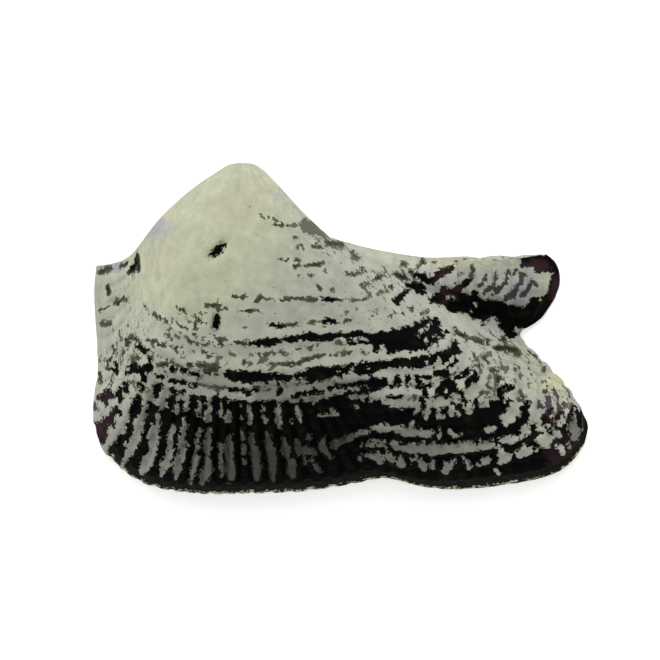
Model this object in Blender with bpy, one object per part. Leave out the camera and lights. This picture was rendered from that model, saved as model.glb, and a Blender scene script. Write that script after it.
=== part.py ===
"""A fossil ark shell: one loose left valve, lying on its rim with its outside up.

The valve is drawn the way a shell grows. The present margin is an outline on the ground, and every
earlier margin is that outline made smaller towards the beak and rolled up over the hinge. The marks
that a margin leaves behind, the growth ledges, follow those earlier outlines, and the ribs cross them.

Two numbers name a place on the outside: u runs along the margin from the front end of the hinge (0)
to its rear end (1), and the age runs from the beak (0) to the present margin (1).

Frame: +X to the rear of the clam, +Y to the hinge side, +Z up. The origin is at the middle of the
valve's box, on the ground. Lengths are in millimetres until the mesh is made.
"""

import bmesh
import bpy
import numpy as np
from mathutils import Vector
from mathutils.bvhtree import BVHTree

MM = 0.001

# The free margin on the ground, from the front end of the hinge round to its rear end.
MARGIN = (
    (-36.7, 9.2),
    (-37.0, 5.0),
    (-36.6, -2.5),
    (-36.5, -7.0),
    (-37.2, -12.0),
    (-36.6, -16.8),
    (-33.6, -20.8),
    (-29.0, -23.8),
    (-22.0, -25.1),
    (-12.9, -25.1),
    (-5.4, -24.8),
    (1.5, -23.7),
    (6.6, -22.9),
    (11.1, -23.9),
    (16.5, -24.6),
    (24.6, -23.9),
    (32.0, -22.2),
    (35.6, -19.3),
    (37.2, -15.2),
    (35.5, -11.3),
    (31.5, -6.9),
    (27.6, -2.6),
    (27.1, -0.6),
    (30.2, 1.4),
    (32.4, 4.6),
    (33.0, 7.4),
    (32.2, 9.7),
    (30.8, 10.9),
)

# How the shell grew out of its beak.
BEAK = (-15.05, 21.5, 9.4)
COIL = 0.95
YOUNGEST = 0.035
FRONT_STRETCH, REAR_STRETCH, STRETCH_SPAN = 0.87, 1.30, 15.0
PLAIN_SPAN = 0.085
FRONT_DRAWN_IN, REAR_DRAWN_IN = 0.21, 0.16
HINGE_SAG, SAG_POWER = 1.3, 10
FRONT_END_EARLY, FRONT_END_LATE, LATE_SHARE = 0.365, 12, 0.19
FRONT_RISE, REAR_END, REAR_RISE = 1.25, 1.22, 2.48

# Where the growth lines run late: from, to along the margin, and by how much.
LATE_LINES = ((0.62, 0.76, 0.08), (0.76, 0.83, 0.07), (0.85, 0.97, -0.15))

# Folds that run from the beak to the margin: place, half width and height at full size.
FOLDS = (
    (0.516, 0.045, -0.6),
    (0.765, 0.022, 0.9),
    (0.835, 0.040, -1.0),
    (0.905, 0.022, -2.4),
    (0.957, 0.022, 3.2),
)

# Growth ledges: the age at which each was the margin, and how far it stands out.
LEDGES = (
    (0.47, 0.35),
    (0.56, 0.60),
    (0.625, 0.75),
    (0.66, 0.50),
    (0.695, 1.00),
    (0.735, 0.65),
    (0.78, 0.70),
    (0.825, 0.70),
    (0.87, 0.70),
    (0.91, 0.60),
    (0.955, 0.50),
)
LEDGE_RUN, LEDGE_FALL = 0.032, 0.011

# Rib numbers along the margin, from sparse places between which the ribs are evenly wide.
RIB_PLACES = ((0.0, 0), (0.22, 12), (0.28, 15), (0.38, 22), (0.47, 26), (0.73, 40), (1.0, 54))
RIB_HEIGHT = 0.5

# Worn pits in the back of the beak: middle, direction of the long side, half length, half width, depth.
PITS = (
    (-18.3, 11.4, 0.75, 1.7, 0.9, 1.4),
    (-18.6, 0.6, 1.45, 1.5, 0.8, 1.2),
)

# The rim that the valve lies on, and the hollow inside it. The wall is made WALL_SPARE thicker
# before the hollow is smoothed, which takes about that much away again where it bends most.
RIM_WIDTH, HINGE_PLATE_WIDTH = 2.3, 4.2
RIM_HEIGHT, HINGE_HEIGHT = 1.4, 0.4
LIP_HEIGHT, LIP_WIDTH = 1.6, 1.1
GAPE_HEIGHT, GAPE_X, GAPE_HALF_WIDTH = 1.2, 6.0, 8.0
WALL, WALL_SPARE = 2.0, 0.6
HOLLOW_CENTRE = (-8.0, -4.0)
RIM_RINGS = ((0.08, 0.45), (0.3, 0.0))
HOLLOW_RINGS = (0.96, 0.89, 0.79, 0.66, 0.5, 0.32, 0.15)
HOLLOW_STEEPNESS = 11.0
GRID_STEP, SMOOTHINGS = 0.5, 12

YOUNG_AGES = (0.035, 0.07, 0.11, 0.155, 0.205, 0.255, 0.305, 0.34, 0.358, 0.376, 0.42)
PIT_ROWS = (0.5, 0.512, 0.53)
BEFORE_LEDGE, AFTER_LEDGE = 0.004, 0.010
HINGE_STEPS = 12
COLOUR = (0.42, 0.40, 0.30, 1.0)


def bump(x, centre, half_width):
    """A smooth hump of height 1."""
    return np.exp(-(((x - centre) / half_width) ** 2))


def smoothstep(low, high, x):
    share = np.clip((x - low) / (high - low), 0.0, 1.0)
    return share * share * (3.0 - 2.0 * share)


def spline(points, per_span=24):
    """A Catmull-Rom curve through the points."""
    points = np.array(points, float)
    ends = np.vstack([2 * points[0] - points[1], points, 2 * points[-1] - points[-2]])
    s = np.linspace(0.0, 1.0, per_span, endpoint=False)[:, None]
    spans = []
    for before, start, end, after in zip(ends, ends[1:], ends[2:], ends[3:]):
        spans.append(
            start
            + 0.5 * s * (end - before)
            + s**2 * (before - 2.5 * start + 2 * end - 0.5 * after)
            + s**3 * (1.5 * (start - end) + 0.5 * (after - before))
        )
    return np.vstack([*spans, points[-1:]])


def evenly(curve, count):
    """That many points along a curve, evenly spaced, both ends included."""
    steps = np.linalg.norm(np.diff(curve, axis=0), axis=1)
    along = np.concatenate([[0.0], np.cumsum(steps)])
    at = np.linspace(0.0, along[-1], count)
    return np.column_stack([np.interp(at, along, curve[:, axis]) for axis in range(2)])


def outlines(u, age):
    """The margin at each age: the present outline, plainer the younger the shell was."""
    fine = evenly(spline(MARGIN), 1401)
    span = int(3 * PLAIN_SPAN * 1400)
    weights = bump(np.arange(-span, span + 1), 0.0, PLAIN_SPAN * 1400)
    weights /= weights.sum()
    at = np.linspace(0.0, 1.0, 1401)
    kept = smoothstep(0.4, 1.0, age)
    axes = []
    for line in fine.T:
        before = 2 * line[0] - line[span:0:-1]
        after = 2 * line[-1] - line[-2 : -span - 2 : -1]
        plain = np.convolve(np.concatenate([before, line, after]), weights, "valid")
        axes.append(np.interp(u, at, plain) * (1.0 - kept) + np.interp(u, at, line) * kept)
    return np.stack(axes, axis=-1)


def rolled(u, age):
    """The outside surface: each margin point followed back through the ages to the beak."""
    beak_x, beak_y, beak_z = BEAK
    margin = outlines(u, age)
    dx = margin[..., 0] - beak_x
    dy = margin[..., 1] - beak_y
    dz = RIM_HEIGHT - beak_z
    middle, swing = (FRONT_STRETCH + REAR_STRETCH) / 2, (REAR_STRETCH - FRONT_STRETCH) / 2
    stretch = middle + swing * np.tanh(dx / STRETCH_SPAN)
    reach = np.hypot(dy, dz)
    angle = np.arctan2(dz, -dy) - np.log(age) / COIL
    x = beak_x + dx * age**stretch
    y = beak_y - reach * age * np.cos(angle)
    z = beak_z + reach * age * np.sin(angle)
    inward = (1.0 - age) * np.hypot(dx, dy)
    z = z + LIP_HEIGHT * (1.0 - np.exp(-inward / LIP_WIDTH)) * smoothstep(0.0, 0.5, age)
    return np.stack([x, y, z], axis=-1)


def hinge_ends(age):
    """Where the front and the rear end of the hinge were at each age."""
    beak_x, beak_y, beak_z = BEAK
    (front_x, front_y), (rear_x, rear_y) = MARGIN[0], MARGIN[-1]
    z = HINGE_HEIGHT + (beak_z - HINGE_HEIGHT) * (1.0 - age)
    early, late = (1.0 - LATE_SHARE) * age**FRONT_END_EARLY, LATE_SHARE * age**FRONT_END_LATE
    front = (
        beak_x + (front_x - beak_x) * (early + late),
        front_y + (beak_y - front_y) * (1.0 - age) ** FRONT_RISE,
        z,
    )
    sag = HINGE_SAG * (1.0 - age**SAG_POWER)
    rear = (
        beak_x + (rear_x - beak_x) * age**REAR_END,
        rear_y - sag + (beak_y - rear_y + HINGE_SAG) * (1.0 - age) ** REAR_RISE,
        z,
    )
    return np.stack(front, axis=-1), np.stack(rear, axis=-1)


def outside(u, age):
    """The outside surface with its folds, drawn in to the edges of the hinge area at both ends."""
    surface = rolled(u, age)
    front, rear = hinge_ends(age[:, :1])
    none = np.zeros_like(age[:, :1])
    first, last = rolled(none, age[:, :1]), rolled(none + 1.0, age[:, :1])
    near_front = (1.0 - smoothstep(0.0, FRONT_DRAWN_IN, u))[..., None]
    near_rear = smoothstep(1.0 - REAR_DRAWN_IN, 1.0, u)[..., None]
    surface = surface + near_front * (front - first) + near_rear * (rear - last)
    size = age**1.5 * (1.0 - age**14)
    for place, half_width, height in FOLDS:
        surface[..., 2] += height * size * bump(u, place, half_width) * smoothstep(0.0, 0.03, 1.0 - u)
    return surface


def age_of(u, phase):
    """The age at which a growth line lies: lines run late at the rear corner and behind the ridge."""
    late = sum(amount * smoothstep(start, end, u) for start, end, amount in LATE_LINES)
    return phase + late * phase * (1.0 - phase**8)


def ledge_height(phase):
    """Each ledge rises slowly towards the margin and falls off sharply."""
    height = np.zeros_like(phase)
    for at, stands_out in LEDGES:
        rise = np.clip(1.0 - (at - phase) / LEDGE_RUN, 0.0, 1.0)
        fall = np.clip(1.0 - (phase - at) / LEDGE_FALL, 0.0, 1.0)
        height = np.maximum(height, stands_out * rise * fall)
    return height


def rib_number(u):
    places, numbers = zip(*RIB_PLACES)
    return np.interp(u, places, numbers)


def rib_height(u, phase):
    """Ribs, raised at whole numbers, grow out of the smooth beak, strongest below and in front."""
    strength = 0.45 + 0.55 * smoothstep(0.03, 0.12, u) * (1.0 - smoothstep(0.45, 0.6, u))
    strength = strength * smoothstep(0.42, 0.72, phase) * (1.0 - 0.65 * smoothstep(0.93, 1.0, phase))
    return RIB_HEIGHT * strength * np.cos(2.0 * np.pi * rib_number(u))


def normals(surface):
    """Unit normals of a grid of points, facing out of the shell."""
    normal = np.cross(np.gradient(surface, axis=0), np.gradient(surface, axis=1))
    length = np.linalg.norm(normal, axis=-1, keepdims=True)
    return normal / np.maximum(length, 1e-9)


def sculpted(u, phase):
    """The outside with ledges, ribs and pits."""
    surface = outside(u, age_of(u, phase))
    relief = ledge_height(phase) * (0.4 + 0.6 * smoothstep(0.08, 0.24, u)) + rib_height(u, phase)
    relief *= smoothstep(0.0, 0.02, u) * smoothstep(0.0, 0.02, 1.0 - u)
    surface = surface + relief[..., None] * normals(surface)
    for x, y, turn, half_length, half_width, depth in PITS:
        dx, dy = surface[..., 0] - x, surface[..., 1] - y
        along = dx * np.cos(turn) + dy * np.sin(turn)
        across = dy * np.cos(turn) - dx * np.sin(turn)
        surface[..., 2] -= depth * bump(along, 0.0, half_length) * bump(across, 0.0, half_width)
    return surface


def with_hinge_area(surface, age):
    """Closed loops: the outside, then straight across the hinge area from rear to front."""
    front, rear = hinge_ends(age[:, :1])
    across = np.linspace(0.0, 1.0, HINGE_STEPS + 1)[None, 1:-1, None]
    return np.concatenate([surface, rear * (1.0 - across) + front * across], axis=1)


def inner_edge(outline):
    """The line on the ground where the rim ends and the hollow begins, drawn in from the outline."""
    along = np.roll(outline, -2, axis=0) - np.roll(outline, 2, axis=0)
    inward = np.column_stack([-along[:, 1], along[:, 0]])
    inward /= np.linalg.norm(inward, axis=1, keepdims=True)
    plate = smoothstep(6.0, 9.0, outline[:, 1])
    edge = outline + inward * (RIM_WIDTH + (HINGE_PLATE_WIDTH - RIM_WIDTH) * plate)[:, None]
    for _ in range(3):
        edge = (np.roll(edge, 1, axis=0) + 2 * edge + np.roll(edge, -1, axis=0)) / 4
    return edge


def hollow_heights(roof):
    """The inside of the wall as heights on a grid, nowhere nearer to the outside than one wall."""
    xs = np.arange(-40.0, 40.0, GRID_STEP)
    ys = np.arange(-28.0, 14.0, GRID_STEP)
    heights = np.zeros((len(ys), len(xs)))
    for row, y in enumerate(ys):
        for column, x in enumerate(xs):
            point = roof.ray_cast(Vector((x, y, -1.0)), Vector((0.0, 0.0, 1.0)))[0]
            heights[row, column] = point.z if point else 0.0
    wall = WALL + WALL_SPARE
    inside = heights - wall
    reach = int(wall / GRID_STEP)
    for shift_y in range(-reach, reach + 1):
        for shift_x in range(-reach, reach + 1):
            away = GRID_STEP * np.hypot(shift_x, shift_y)
            if away < wall:
                moved = np.roll(heights, (shift_y, shift_x), axis=(0, 1))
                inside = np.minimum(inside, moved - np.sqrt(wall**2 - away**2))
    for _ in range(SMOOTHINGS):
        for axis in (0, 1):
            inside = (np.roll(inside, 1, axis) + 2 * inside + np.roll(inside, -1, axis)) / 4
    return xs, ys, inside


def on_grid(xs, ys, heights, points):
    """Heights of the grid at points, straight between its corners."""
    column = np.clip((points[:, 0] - xs[0]) / GRID_STEP, 0, len(xs) - 1.001)
    row = np.clip((points[:, 1] - ys[0]) / GRID_STEP, 0, len(ys) - 1.001)
    c, r = column.astype(int), row.astype(int)
    s, t = column - c, row - r
    near = heights[r, c] * (1 - s) + heights[r, c + 1] * s
    far = heights[r + 1, c] * (1 - s) + heights[r + 1, c + 1] * s
    return near * (1 - t) + far * t


def hollow_rings(edge, roof):
    """Rings from the inner edge of the rim up to the deepest place of the hollow."""
    grid = hollow_heights(roof)
    centre = np.array(HOLLOW_CENTRE)
    rings = []
    for share in (*HOLLOW_RINGS, 0.0):
        ring = centre + share * (edge - centre)
        height = np.maximum(on_grid(*grid, ring), 0.3) * (1.0 - share**HOLLOW_STEEPNESS)
        rings.append(np.column_stack([ring, height]))
    return rings


def lift_gape(loop):
    """The shallow arch in the lower margin through which the living clam held on."""
    x, y, z = loop.T
    lifted = loop.copy()
    lifted[:, 2] += (
        GAPE_HEIGHT * bump(x, GAPE_X, GAPE_HALF_WIDTH) * smoothstep(14.0, 20.0, -y) * np.exp(-z / 3.0)
    )
    return lifted


def build_loops():
    """Closed loops of points from the beak over the outside, under the rim and up the hollow."""
    samples = 2 * int(RIB_PLACES[-1][1]) + 1
    numbers = np.linspace(0.0, RIB_PLACES[-1][1], samples)
    places, at = zip(*RIB_PLACES)
    along = np.interp(numbers, at, places)
    ledge_rows = [age for at, _ in LEDGES for age in (at - BEFORE_LEDGE, at + AFTER_LEDGE)]
    phases = np.array([*YOUNG_AGES, *sorted([*ledge_rows, *PIT_ROWS]), 1.0])
    u, phase = np.meshgrid(along, phases)
    loops = with_hinge_area(sculpted(u, phase), age_of(u, phase))
    count = loops.shape[1]
    smooth = with_hinge_area(outside(u, age_of(u, phase)), age_of(u, phase))
    faces = []
    for start in range(0, (len(phases) - 1) * count, count):
        for i in range(count):
            j = (i + 1) % count
            faces.append((start + i, start + j, start + count + j, start + count + i))
    roof = BVHTree.FromPolygons([tuple(p) for p in smooth.reshape(-1, 3)], faces)
    outline = loops[-1]
    edge = inner_edge(outline[:, :2])
    rim = []
    for inset, height in RIM_RINGS:
        ring = outline.copy()
        ring[:, :2] += (edge - outline[:, :2]) * inset
        ring[:, 2] *= height
        rim.append(ring)
    rim.append(np.column_stack([edge, np.zeros(len(edge))]))
    hollow = hollow_rings(edge, roof)
    young = len(YOUNG_AGES)
    all_loops = [loop[::2] for loop in loops[:young]]
    all_loops += [*loops[young:], *rim]
    all_loops += [ring[::2] for ring in hollow[:-1]]
    middle = hollow[-1][0]
    return [lift_gape(loop) for loop in all_loops], middle


def bridge(mesh, a, b):
    """Faces between two rings, of which one may have half as many points."""
    if len(a) == len(b):
        for i in range(len(a)):
            j = (i + 1) % len(a)
            mesh.faces.new((a[i], a[j], b[j], b[i]))
        return
    few, many = (a, b) if len(a) < len(b) else (b, a)
    for i in range(len(few)):
        j = (i + 1) % len(few)
        start, middle, end = many[2 * i], many[2 * i + 1], many[(2 * i + 2) % len(many)]
        mesh.faces.new((few[i], middle, start))
        mesh.faces.new((few[i], few[j], middle))
        mesh.faces.new((few[j], end, middle))


def build_mesh(loops, middle):
    mesh = bmesh.new()
    rings = [[mesh.verts.new(Vector(p) * MM) for p in loop] for loop in loops]
    for a, b in zip(rings, rings[1:]):
        bridge(mesh, a, b)
    tip = mesh.verts.new(Vector(loops[0].mean(axis=0)) * MM)
    deepest = mesh.verts.new(Vector(middle) * MM)
    for ring, end in ((rings[0], tip), (rings[-1], deepest)):
        for i in range(len(ring)):
            mesh.faces.new((ring[i], ring[(i + 1) % len(ring)], end))
    bmesh.ops.recalc_face_normals(mesh, faces=mesh.faces)
    corners = np.array([v.co for v in mesh.verts])
    low, high = corners.min(axis=0), corners.max(axis=0)
    shift = Vector((-(low[0] + high[0]) / 2, -(low[1] + high[1]) / 2, -low[2]))
    bmesh.ops.translate(mesh, verts=mesh.verts, vec=shift)
    return mesh


def shell_material():
    material = bpy.data.materials.new("fossil_shell")
    material.use_nodes = True
    shader = material.node_tree.nodes["Principled BSDF"]
    shader.inputs["Base Color"].default_value = COLOUR
    shader.inputs["Roughness"].default_value = 0.85
    return material


def main():
    for old in list(bpy.data.objects):
        bpy.data.objects.remove(old)
    data = bpy.data.meshes.new("left_valve")
    mesh = build_mesh(*build_loops())
    mesh.to_mesh(data)
    mesh.free()
    data.materials.append(shell_material())
    data.shade_smooth()
    bpy.context.scene.collection.objects.link(bpy.data.objects.new("left_valve", data))


main()
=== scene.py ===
"""The looks of a fossil ark shell: one loose left valve on its rim, seen from straight above.

The fine shell grows by the same rules as the solid that it replaces. Two numbers name a place on the
outside: u runs along the margin from the front end of the hinge (0) to its rear end (1), and the
phase runs from the beak (0) to the present margin (1) along the growth lines.

The black of the fossil is stain together with painted shade: painted shadow in the grooves under the
growth ledges and between the ribs, and painted shade on the lower slope, under the wing and in the pits.
It is drawn here as lines and outlines: a few follow the growth lines in u and phase, and the others are
placed on the ground, as seen from above. Each mark is kept on the mesh as a depth in millimetres,
above 0 inside the mark, and the material turns those depths into ragged edges.

Lengths are in millimetres until the mesh is made.
"""

import bpy
import numpy as np
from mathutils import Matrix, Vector
from mathutils.bvhtree import BVHTree


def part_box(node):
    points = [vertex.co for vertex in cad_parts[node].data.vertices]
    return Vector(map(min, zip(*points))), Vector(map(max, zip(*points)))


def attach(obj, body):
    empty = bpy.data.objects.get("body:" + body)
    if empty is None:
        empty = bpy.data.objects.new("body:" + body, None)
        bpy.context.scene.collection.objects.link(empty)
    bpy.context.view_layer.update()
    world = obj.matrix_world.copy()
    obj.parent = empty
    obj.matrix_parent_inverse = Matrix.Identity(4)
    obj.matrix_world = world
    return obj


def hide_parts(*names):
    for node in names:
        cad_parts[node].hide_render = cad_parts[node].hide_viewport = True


MM = 0.001

# The depth of a place that lies in no mark.
FAR_OUT = -9.0

# The free margin on the ground, from the front end of the hinge round to its rear end.
MARGIN = (
    (-36.7, 9.2),
    (-37.0, 5.0),
    (-36.6, -2.5),
    (-36.5, -7.0),
    (-37.2, -12.0),
    (-36.6, -16.8),
    (-33.6, -20.8),
    (-29.0, -23.8),
    (-22.0, -25.1),
    (-12.9, -25.1),
    (-5.4, -24.8),
    (1.5, -23.7),
    (6.6, -22.9),
    (11.1, -23.9),
    (16.5, -24.6),
    (24.6, -23.9),
    (32.0, -22.2),
    (35.6, -19.3),
    (37.2, -15.2),
    (35.5, -11.3),
    (31.5, -6.9),
    (27.6, -2.6),
    (27.1, -0.6),
    (30.2, 1.4),
    (32.4, 4.6),
    (33.0, 7.4),
    (32.2, 9.7),
    (30.8, 10.9),
)

# The margin is measured in this many steps. Its bends are smoothed over a span along it, fully up to an age.
MARGIN_STEPS = 1400
PLAIN_SPAN, PLAIN_UNTIL = 0.085, 0.4

# How the shell grew out of its beak.
BEAK = (-15.05, 21.5, 9.4)
COIL = 0.95
FRONT_STRETCH, REAR_STRETCH, STRETCH_SPAN = 0.87, 1.30, 15.0
FRONT_DRAWN_IN, REAR_DRAWN_IN = 0.21, 0.16
HINGE_SAG, SAG_POWER = 1.3, 10
FRONT_END_EARLY, FRONT_END_LATE, LATE_SHARE = 0.365, 12, 0.19
FRONT_RISE, REAR_END, REAR_RISE = 1.25, 1.22, 2.48

# Where the growth lines run late: from, to along the margin, and by how much. They don't at the margin.
LATE_LINES = ((0.62, 0.76, 0.08), (0.76, 0.83, 0.07), (0.85, 0.97, -0.15))
LATE_POWER = 8

# Folds that run from the beak to the margin: place, half width and height at full size. They grow with a
# power of the age, fade out by the margin with a higher one, and end just before the hinge.
FOLDS = (
    (0.516, 0.045, -0.6),
    (0.765, 0.022, 0.9),
    (0.835, 0.040, -1.0),
    (0.905, 0.022, -2.4),
    (0.957, 0.022, 3.2),
)
FOLD_GROWTH, FOLD_FADE, FOLD_END = 1.5, 14, 0.03

# Growth ledges: the phase of each, and how far it stands out.
LEDGES = (
    (0.47, 0.12),
    (0.56, 0.45),
    (0.625, 0.75),
    (0.66, 0.50),
    (0.695, 1.00),
    (0.735, 0.65),
    (0.78, 0.70),
    (0.825, 0.70),
    (0.87, 0.70),
    (0.91, 0.60),
    (0.955, 0.50),
)
LEDGE_RUN, LEDGE_FALL = 0.032, 0.011

# The ledges have this share of their height in front and grow over a stretch of places. They also waver:
# by how much phase, in how many cells along the margin and the growth, and the random seed.
FRONT_LEDGES, LEDGE_STRETCH = 0.3, (0.12, 0.30)
WAVER, WAVER_CELLS, WAVER_SEED = 0.004, (28.0, 9.0), 1

# Rib numbers along the margin, from sparse places between which the ribs are evenly wide.
RIB_PLACES = ((0.0, 0), (0.22, 12), (0.28, 15), (0.38, 22), (0.47, 26), (0.73, 40), (1.0, 54))
RIB_HEIGHT, RIB_FLANK = 0.5, (0.05, 0.65)

# The share of their height that the ribs keep at both ends, and between which places they are full.
WEAK_RIBS, STRONG_FROM, STRONG_TO = 0.25, (0.19, 0.25), (0.45, 0.56)

# The phases over which the ribs rise and fall off again, and by what share they fall off.
RIBS_RISE, RIBS_FALL, RIB_FALL = (0.66, 0.77), (0.93, 1.0), 0.85

# How far light marks stand out and dark ones lie in, the depths over which they do, and a fine roughness:
# height, cells, seed and the phases over which it sets in. All relief ends just before the hinge.
LIGHT_RISE, LIGHT_STEP = 0.22, (-0.3, 0.3)
DARK_SINK, DARK_STEP = 0.24, (-0.25, 0.45)
ROUGHNESS, ROUGH_CELLS, ROUGH_SEED, ROUGH_PHASES = 0.05, (150.0, 60.0), 2, (0.4, 0.6)
RELIEF_END = 0.02

# Worn pits in the back of the beak: middle, direction of the long side, half length, half width, depth.
PITS = (
    (-18.3, 11.4, 0.75, 1.7, 0.7, 1.4),
    (-18.6, 0.6, 1.45, 1.5, 0.6, 1.2),
)
# How far the painted shade in each pit reaches, as a share of its size.
PIT_SHADE = 0.8

# Grooves of the flat area above the hinge: spacing, slant away from the beak, share that is groove, depth,
# how far they stay off its sides, and the ages over which they set in.
GROOVE_SPACING, GROOVE_SLANT, GROOVE_WIDTH, GROOVE_DEPTH = 1.7, 0.30, 0.12, 0.35
GROOVE_END, GROOVE_AGES = 0.03, (0.08, 0.2)

# The rim that the valve lies on, with its lip and the gape in it, and the hollow inside.
RIM_WIDTH, HINGE_PLATE_WIDTH = 2.3, 4.2
RIM_HEIGHT, HINGE_HEIGHT = 1.4, 0.4
LIP_HEIGHT, LIP_WIDTH, LIP_FULL_AGE = 1.6, 1.1, 0.5
GAPE_HEIGHT, GAPE_X, GAPE_HALF_WIDTH = 1.2, 6.0, 8.0
GAPE_SIDE, GAPE_FADE = (14.0, 20.0), 3.0
PLATE_EDGE, RIM_SMOOTHINGS = (6.0, 9.0), 3
WALL, WALL_SPARE = 2.0, 0.6
HOLLOW_CENTRE = (-8.0, -4.0)
HOLLOW_STEEPNESS, HOLLOW_LEAST = 11.0, 0.3
GRID_X, GRID_Y = (-40.0, 40.0), (-28.0, 14.0)
GRID_STEP, SMOOTHINGS = 0.5, 12

# Hinge teeth: how many, their depth, and where the row ends along the hinge and across the plate.
TEETH, TOOTH_DEPTH = 48, 0.55
TOOTH_ROW_END, TOOTH_FOOT, TOOTH_TIP = (0.02, 0.06), (0.12, 0.3), (0.0, 0.16)

# Marks on the upper flank and the front side: strokes are lines of (u, phase, half width). The black ones are
# stain with painted shadow under the growth ledges.
BLACK_STROKES = (
    ((0.566, 0.519, 0.10), (0.582, 0.515, 0.22), (0.602, 0.518, 0.16)),
    ((0.600, 0.467, 0.16), (0.615, 0.470, 0.26), (0.632, 0.467, 0.14)),
    ((0.436, 0.521, 0.10), (0.448, 0.526, 0.22), (0.460, 0.524, 0.12)),
    # The notch under the hinge's front end, in painted shade.
    ((0.020, 0.715, 0.12), (0.028, 0.700, 0.30), (0.026, 0.740, 0.30), (0.022, 0.785, 0.14)),
)

OLIVE_STROKES = (
    ((0.340, 0.452, 0.12), (0.350, 0.458, 0.24), (0.368, 0.459, 0.22), (0.376, 0.452, 0.10)),
    (
        (0.400, 0.466, 0.16), (0.416, 0.459, 0.30), (0.426, 0.461, 0.14), (0.440, 0.463, 0.16),
        (0.456, 0.467, 0.12),
    ),
    (
        (0.460, 0.466, 0.14), (0.480, 0.467, 0.28), (0.520, 0.465, 0.20), (0.560, 0.467, 0.30),
        (0.600, 0.467, 0.26), (0.630, 0.468, 0.26), (0.660, 0.466, 0.22), (0.700, 0.463, 0.18),
        (0.735, 0.461, 0.22),
    ),
    ((0.430, 0.520, 0.14), (0.450, 0.524, 0.34), (0.470, 0.527, 0.32), (0.500, 0.521, 0.18)),
    ((0.532, 0.521, 0.12), (0.550, 0.517, 0.14)),
    ((0.562, 0.519, 0.18), (0.582, 0.516, 0.28), (0.605, 0.519, 0.22)),
    ((0.620, 0.521, 0.14), (0.640, 0.515, 0.22), (0.650, 0.510, 0.10)),
    ((0.360, 0.488, 0.12), (0.380, 0.487, 0.18), (0.400, 0.487, 0.16), (0.413, 0.491, 0.10)),
    ((0.285, 0.483, 0.14), (0.300, 0.480, 0.22), (0.316, 0.477, 0.22)),
    ((0.310, 0.470, 0.18), (0.313, 0.492, 0.28)),
    ((0.325, 0.483, 0.16), (0.336, 0.485, 0.16)),
    ((0.264, 0.511, 0.14), (0.275, 0.520, 0.18), (0.291, 0.522, 0.12)),
    ((0.270, 0.530, 0.16), (0.273, 0.551, 0.22)),
    ((0.225, 0.512, 0.14), (0.236, 0.510, 0.24), (0.246, 0.515, 0.12)),
    (
        (0.162, 0.582, 0.12), (0.180, 0.572, 0.30), (0.200, 0.560, 0.22), (0.222, 0.550, 0.18),
        (0.258, 0.545, 0.12),
    ),
    ((0.120, 0.624, 0.10), (0.135, 0.608, 0.16), (0.151, 0.600, 0.10)),
    ((0.010, 0.705, 0.40), (0.030, 0.672, 0.85), (0.046, 0.655, 0.55)),
    ((0.032, 0.700, 0.85), (0.029, 0.740, 0.80), (0.024, 0.785, 0.50)),
    ((0.047, 0.918, 0.42), (0.052, 0.885, 0.40), (0.050, 0.850, 0.30), (0.059, 0.812, 0.26)),
    ((0.064, 0.978, 0.40), (0.070, 0.935, 0.24)),
    ((0.049, 0.985, 0.20), (0.049, 0.950, 0.16)),
    ((0.026, 0.955, 0.26), (0.034, 0.945, 0.30)),
    ((0.005, 0.955, 0.34), (0.006, 0.985, 0.34)),
    ((0.007, 0.890, 0.24), (0.008, 0.830, 0.20)),
    ((0.089, 0.868, 0.10), (0.094, 0.850, 0.14)),
)
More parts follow.
